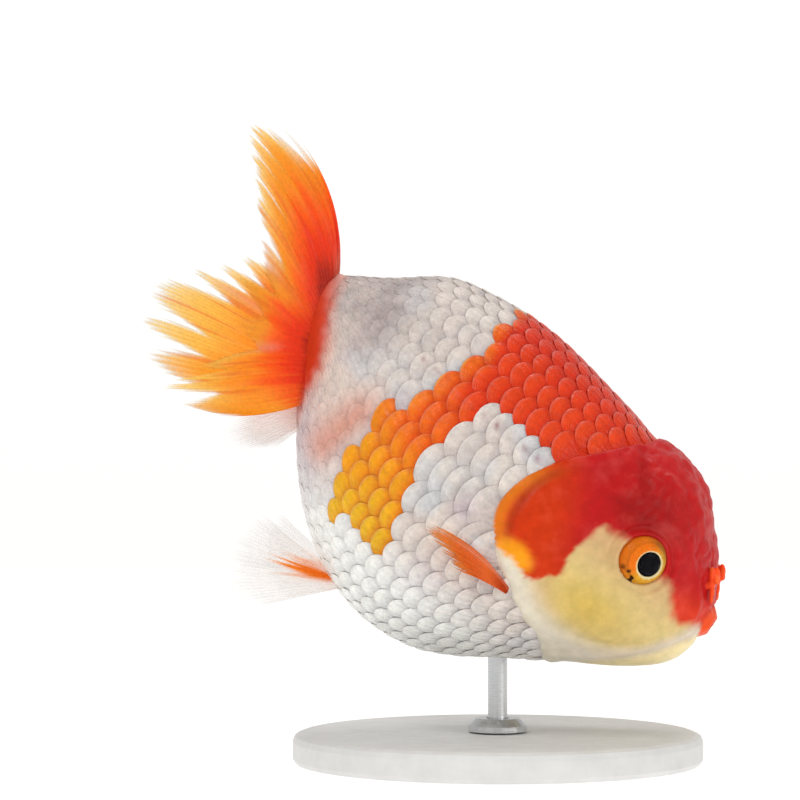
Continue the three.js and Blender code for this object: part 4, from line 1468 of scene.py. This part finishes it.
def cornea_profile():
    """A thin clear shell round the front half of the eyeball, a little flatter than a ball."""
    turns = np.linspace(0.0, 0.985, 26) * math.pi / 2.0
    shell = [((EYE_BALL + 0.12) * math.cos(turn), (EYE_BALL - 0.3) * math.sin(turn)) for turn in turns]
    inner = [(radius * CORNEA_THIN, depth * CORNEA_THIN - 0.02) for radius, depth in shell[::-1]]
    return inner + shell


IRIS_GOLD = linear("F2B02C")
IRIS_ORANGE = linear("FA7A18")
IRIS_RAY = linear("D88A18")
IRIS_RING = linear("F2DFA4")
IRIS_BROWN = linear("B4641A")
IRIS_LID_SHADOW = linear("8C4A1C")
IRIS_SPOT = linear("3A1A08")
EYE_BACK = linear("E08A1C")
PUPIL = linear("06060C")


def eyeball_colours(profile):
    """A black pupil, a pale ring round it, an iris orange above and behind and gold below, and a painted lid
    shadow over its upper front part.
    """
    radii = np.array(profile)[:, 0]
    radius, turn = (grid.ravel() for grid in np.meshgrid(radii, eye_turns(), indexing="ij"))
    iris = np.repeat((np.arange(len(radii)) >= BEHIND_IRIS).astype(float), EYE_SIDES)
    ray = noise(np.stack([turn * 14.0, radius * 0.6, radius * 0.0], axis=1), 1.0, 61)
    spots = noise(np.stack([radius * 1.2, np.cos(turn) * 5.0, np.sin(turn) * 5.0], axis=1), 1.0, 62)
    warm = 0.5 + 0.5 * np.sin(turn - math.radians(75.0))
    forward = 0.5 + 0.5 * np.cos(turn + math.radians(20.0))
    past_pupil = radius - PUPIL_RADIUS
    # Painted shadow of the upper lid over the upper front part of the iris.
    shaded = smooth(0.2, 0.95, np.cos(turn - math.radians(48.0))) * smooth(2.9, 4.3, radius)
    low = smooth(-0.3, -0.85, np.sin(turn)) * smooth(0.3, 0.7, spots)
    return layered(
        IRIS_GOLD, len(radius),
        (IRIS_ORANGE, smooth(0.35, 0.8, warm)),
        (IRIS_RAY, 0.3 * smooth(0.0, 0.7, ray)),
        (IRIS_RING, smooth(0.3, 0.02, past_pupil + 0.1 * ray - 0.42 * forward)),
        (IRIS_BROWN, 0.5 * smooth(0.5, 0.0, 4.3 - radius) * smooth(-0.2, 0.6, warm)),
        (IRIS_LID_SHADOW, 0.6 * shaded),
        (IRIS_SPOT, low * smooth(3.3, 3.8, radius)),
        (EYE_BACK, 1.0 - iris),
        (PUPIL, smooth(0.03, -0.03, past_pupil) * iris),
    )


def make_eyes():
    """Each eyeball in place of the CAD eye, with a clear dome over it."""
    ball_material, dome_material = eye_material(), cornea_material()
    profile = eyeball_profile()
    colours = eyeball_colours(profile)
    for side_name, side in SIDES:
        ball = revolve(f"eyeball_{side_name}", profile, side, ball_material)
        set_colour(ball, "colour", np.concatenate([colours, colours[:1], colours[-1:]]))
        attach(ball, "root")
        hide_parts(f"eye_{side_name}")
        dome = revolve(f"cornea_{side_name}", cornea_profile(), side, dome_material)
        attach(dome, "root")


# ---- The nose flaps ----

# The lobes of a nose flap, upright: where each lies from the middle of the flap's box, to the fish's front,
# its side and up, and its half sizes, all in millimetres. The first is the stalk that sits in the skin.
FLAP_LOBES = [
    ((-1.9, 0.0, 0.2), (1.7, 0.9, 1.1)),
    ((-0.3, 0.0, 0.6), (0.8, 0.8, 1.3)),
    ((-0.2, 0.35, 2.3), (0.75, 0.7, 1.4)),
    ((0.75, -0.35, 2.2), (0.7, 0.65, 1.5)),
    ((0.75, 0.5, 1.2), (0.6, 0.6, 1.0)),
    ((-0.1, -0.8, 1.0), (0.5, 0.5, 0.9)),
    ((-0.25, -0.1, -1.0), (0.55, 0.6, 1.5)),
    ((-0.35, 0.2, -2.5), (0.4, 0.4, 1.2)),
]
FLAP_INWARDS = 1.6      # how much nearer to the middle they sit than the CAD model's
FLAP_ROWS = 96
FLAP_SIDES = 96
FLAP_REACH = 6.0        # further out than any lobe
FLAP_RED = linear("E03A18")
FLAP_SCARLET = linear("FF5220")
FLAP_ORANGE = linear("FF7A3A")


def flap_field(points, middle, side):
    """Above 1 inside the lobes, which run together where they meet."""
    total = np.zeros(len(points))
    for place, half in FLAP_LOBES:
        centre = middle + np.array(place) * (1.0, side, 1.0)
        away = np.linalg.norm((points - centre) / half, axis=1)
        total += np.exp(-4.5 * (away**2 - 1.0))
    return total


def flap_points(middle, side):
    """Points all round the lobes, found along straight ways out from the middle by halving."""
    tilt = math.pi * (np.arange(FLAP_ROWS) + 0.5) / FLAP_ROWS
    turn = 2.0 * math.pi * np.arange(FLAP_SIDES) / FLAP_SIDES
    tilts, turns = (grid.ravel() for grid in np.meshgrid(tilt, turn, indexing="ij"))
    ways = np.stack([np.sin(tilts) * np.cos(turns), np.sin(tilts) * np.sin(turns), np.cos(tilts)], axis=1)
    near, far = np.zeros(len(ways)), np.full(len(ways), FLAP_REACH)
    for _ in range(24):
        radius = (near + far) / 2.0
        within = flap_field(middle + ways * radius[:, None], middle, side) > 1.0
        near, far = np.where(within, radius, near), np.where(within, far, radius)
    points = middle + ways * near[:, None]
    return points + ways * (0.09 * noise(points, 1.0, 81) + 0.05 * noise(points, 0.45, 82))[:, None]


def make_nose_flap(side_name, side, material):
    """One nose flap, in place of the CAD model's."""
    low, high = np.array(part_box(f"nose_flap_{side_name}")) / MM
    middle = (low + high) / 2.0 - (0.05, side * FLAP_INWARDS, 0.0)
    points = flap_points(middle, side)
    points[:, 0] = np.minimum(points[:, 0], high[0] - 0.03)
    points = with_ends(points, FLAP_SIDES)
    faces = [face[::-1] for face in closed_faces(FLAP_ROWS, FLAP_SIDES)]
    flap = new_mesh(f"nose_flap_{side_name}_skin", points * MM, faces, material)
    set_colour(flap, "colour", layered(
        FLAP_RED, len(points),
        (FLAP_SCARLET, smooth(0.3, 1.6, points[:, 0] - low[0])),
        (FLAP_ORANGE, 0.5 * smooth(0.1, 0.7, noise(points, 1.3, 83))),
    ))
    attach(flap, "root")
    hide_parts(f"nose_flap_{side_name}")


def make_nose_flaps():
    material = skin_material()
    for side_name, side in SIDES:
        make_nose_flap(side_name, side, material)


# ---- The stand ----

def paint_stand():
    """The CAD model's own stand, with its materials."""
    steel = steel_material()
    for name, material in (("stand_base", base_material()), ("stand_collar", steel), ("stand_rod", steel)):
        node = frame["nodes"][name]
        for piece in (node, *node.children_recursive):
            for slot in piece.material_slots:
                slot.material = material


# ---- Stage, lights and camera ----

CAMERA = {"azimuth": 10.0, "distance": 0.7, "aim": (-0.0203, 0.0, 0.0741), "lens": 153.0, "sensor": 36.0}
FLOOR_RADII = (0.0, 0.3, 0.6, 0.9)
FLOOR_SIDES = 64
BACKDROP_BEND = 0.5
BACKDROP_HEIGHT = 1.6
SKY_LEVELS = (1.3, 0.55)    # how bright the surroundings are below and above
LIGHTS_AIM = (-0.02, 0.0, 0.07)


def make_camera():
    """A long lens at the fish's right side, level with it and turned a little to its front."""
    data = bpy.data.cameras.new("camera")
    data.lens = CAMERA["lens"]
    data.sensor_width = CAMERA["sensor"]
    data.clip_start = 0.01
    camera = bpy.data.objects.new("camera", data)
    bpy.context.scene.collection.objects.link(camera)
    turn = math.radians(CAMERA["azimuth"])
    x, y, z = CAMERA["aim"]
    camera.location = (x + CAMERA["distance"] * math.sin(turn), y - CAMERA["distance"] * math.cos(turn), z)
    camera.rotation_euler = (math.pi / 2.0, 0.0, turn)
    bpy.context.scene.camera = camera

def make_stage():
    """A pale floor that curves up into a backdrop on all sides."""
    profile = [(radius, 0.0) for radius in FLOOR_RADII]
    for i in range(1, 13):
        bend = math.pi / 2.0 * i / 12.0
        out, up = BACKDROP_BEND * math.sin(bend), BACKDROP_BEND * (1.0 - math.cos(bend))
        profile.append((FLOOR_RADII[-1] + out, up))
    profile.append((FLOOR_RADII[-1] + BACKDROP_BEND, BACKDROP_HEIGHT))
    turns = [2.0 * math.pi * j / FLOOR_SIDES for j in range(FLOOR_SIDES)]
    points = [(radius * math.cos(a), radius * math.sin(a), level) for radius, level in profile for a in turns]
    faces = grid_faces(len(profile), FLOOR_SIDES, closed=True)
    floor = new_mesh("floor", np.array(points), faces.tolist(), stage_material())
    floor.visible_diffuse = False
    floor.visible_glossy = False


def add_lamp(name, location, size, power):
    """A round white lamp that faces the fish."""
    data = bpy.data.lights.new(name, "AREA")
    data.shape = "DISK"
    data.size = size
    data.energy = power
    lamp = bpy.data.objects.new(name, data)
    bpy.context.scene.collection.objects.link(lamp)
    lamp.location = location
    way = np.array(LIGHTS_AIM) - location
    flat = math.hypot(way[0], way[1])
    lamp.rotation_euler = (math.atan2(flat, -way[2]), 0.0, math.atan2(way[1], way[0]) - math.pi / 2.0)


def make_lights():
    """Pale surroundings, brighter below than above, and three lamps."""
    s = Shader(bpy.data.worlds.new("world"))
    height = s.node("ShaderNodeSeparateXYZ", {"Vector": s.place("Generated")}).outputs["Z"]
    strength = s.range(height, -0.5, 0.5, *SKY_LEVELS)
    sky = s.node("ShaderNodeBackground", {"Color": (1.0, 0.995, 0.985, 1.0), "Strength": strength})
    bpy.context.scene.world = s.finish(sky.outputs["Background"], "ShaderNodeOutputWorld")
    add_lamp("key", (-0.35, -0.65, 0.75), 0.45, 3.0)
    add_lamp("top", (0.1, 0.3, 1.0), 0.5, 2.6)
    add_lamp("fill", (0.75, -0.45, 0.25), 0.4, 1.4)


def set_view():
    """Colours as they are, with no film look over them."""
    settings = bpy.context.scene.view_settings
    settings.view_transform = "Standard"
    settings.look = "None"


make_camera()
make_stage()
make_lights()
set_view()
make_skin()
make_coat()
make_fins()
make_eyes()
make_nose_flaps()
paint_stand()
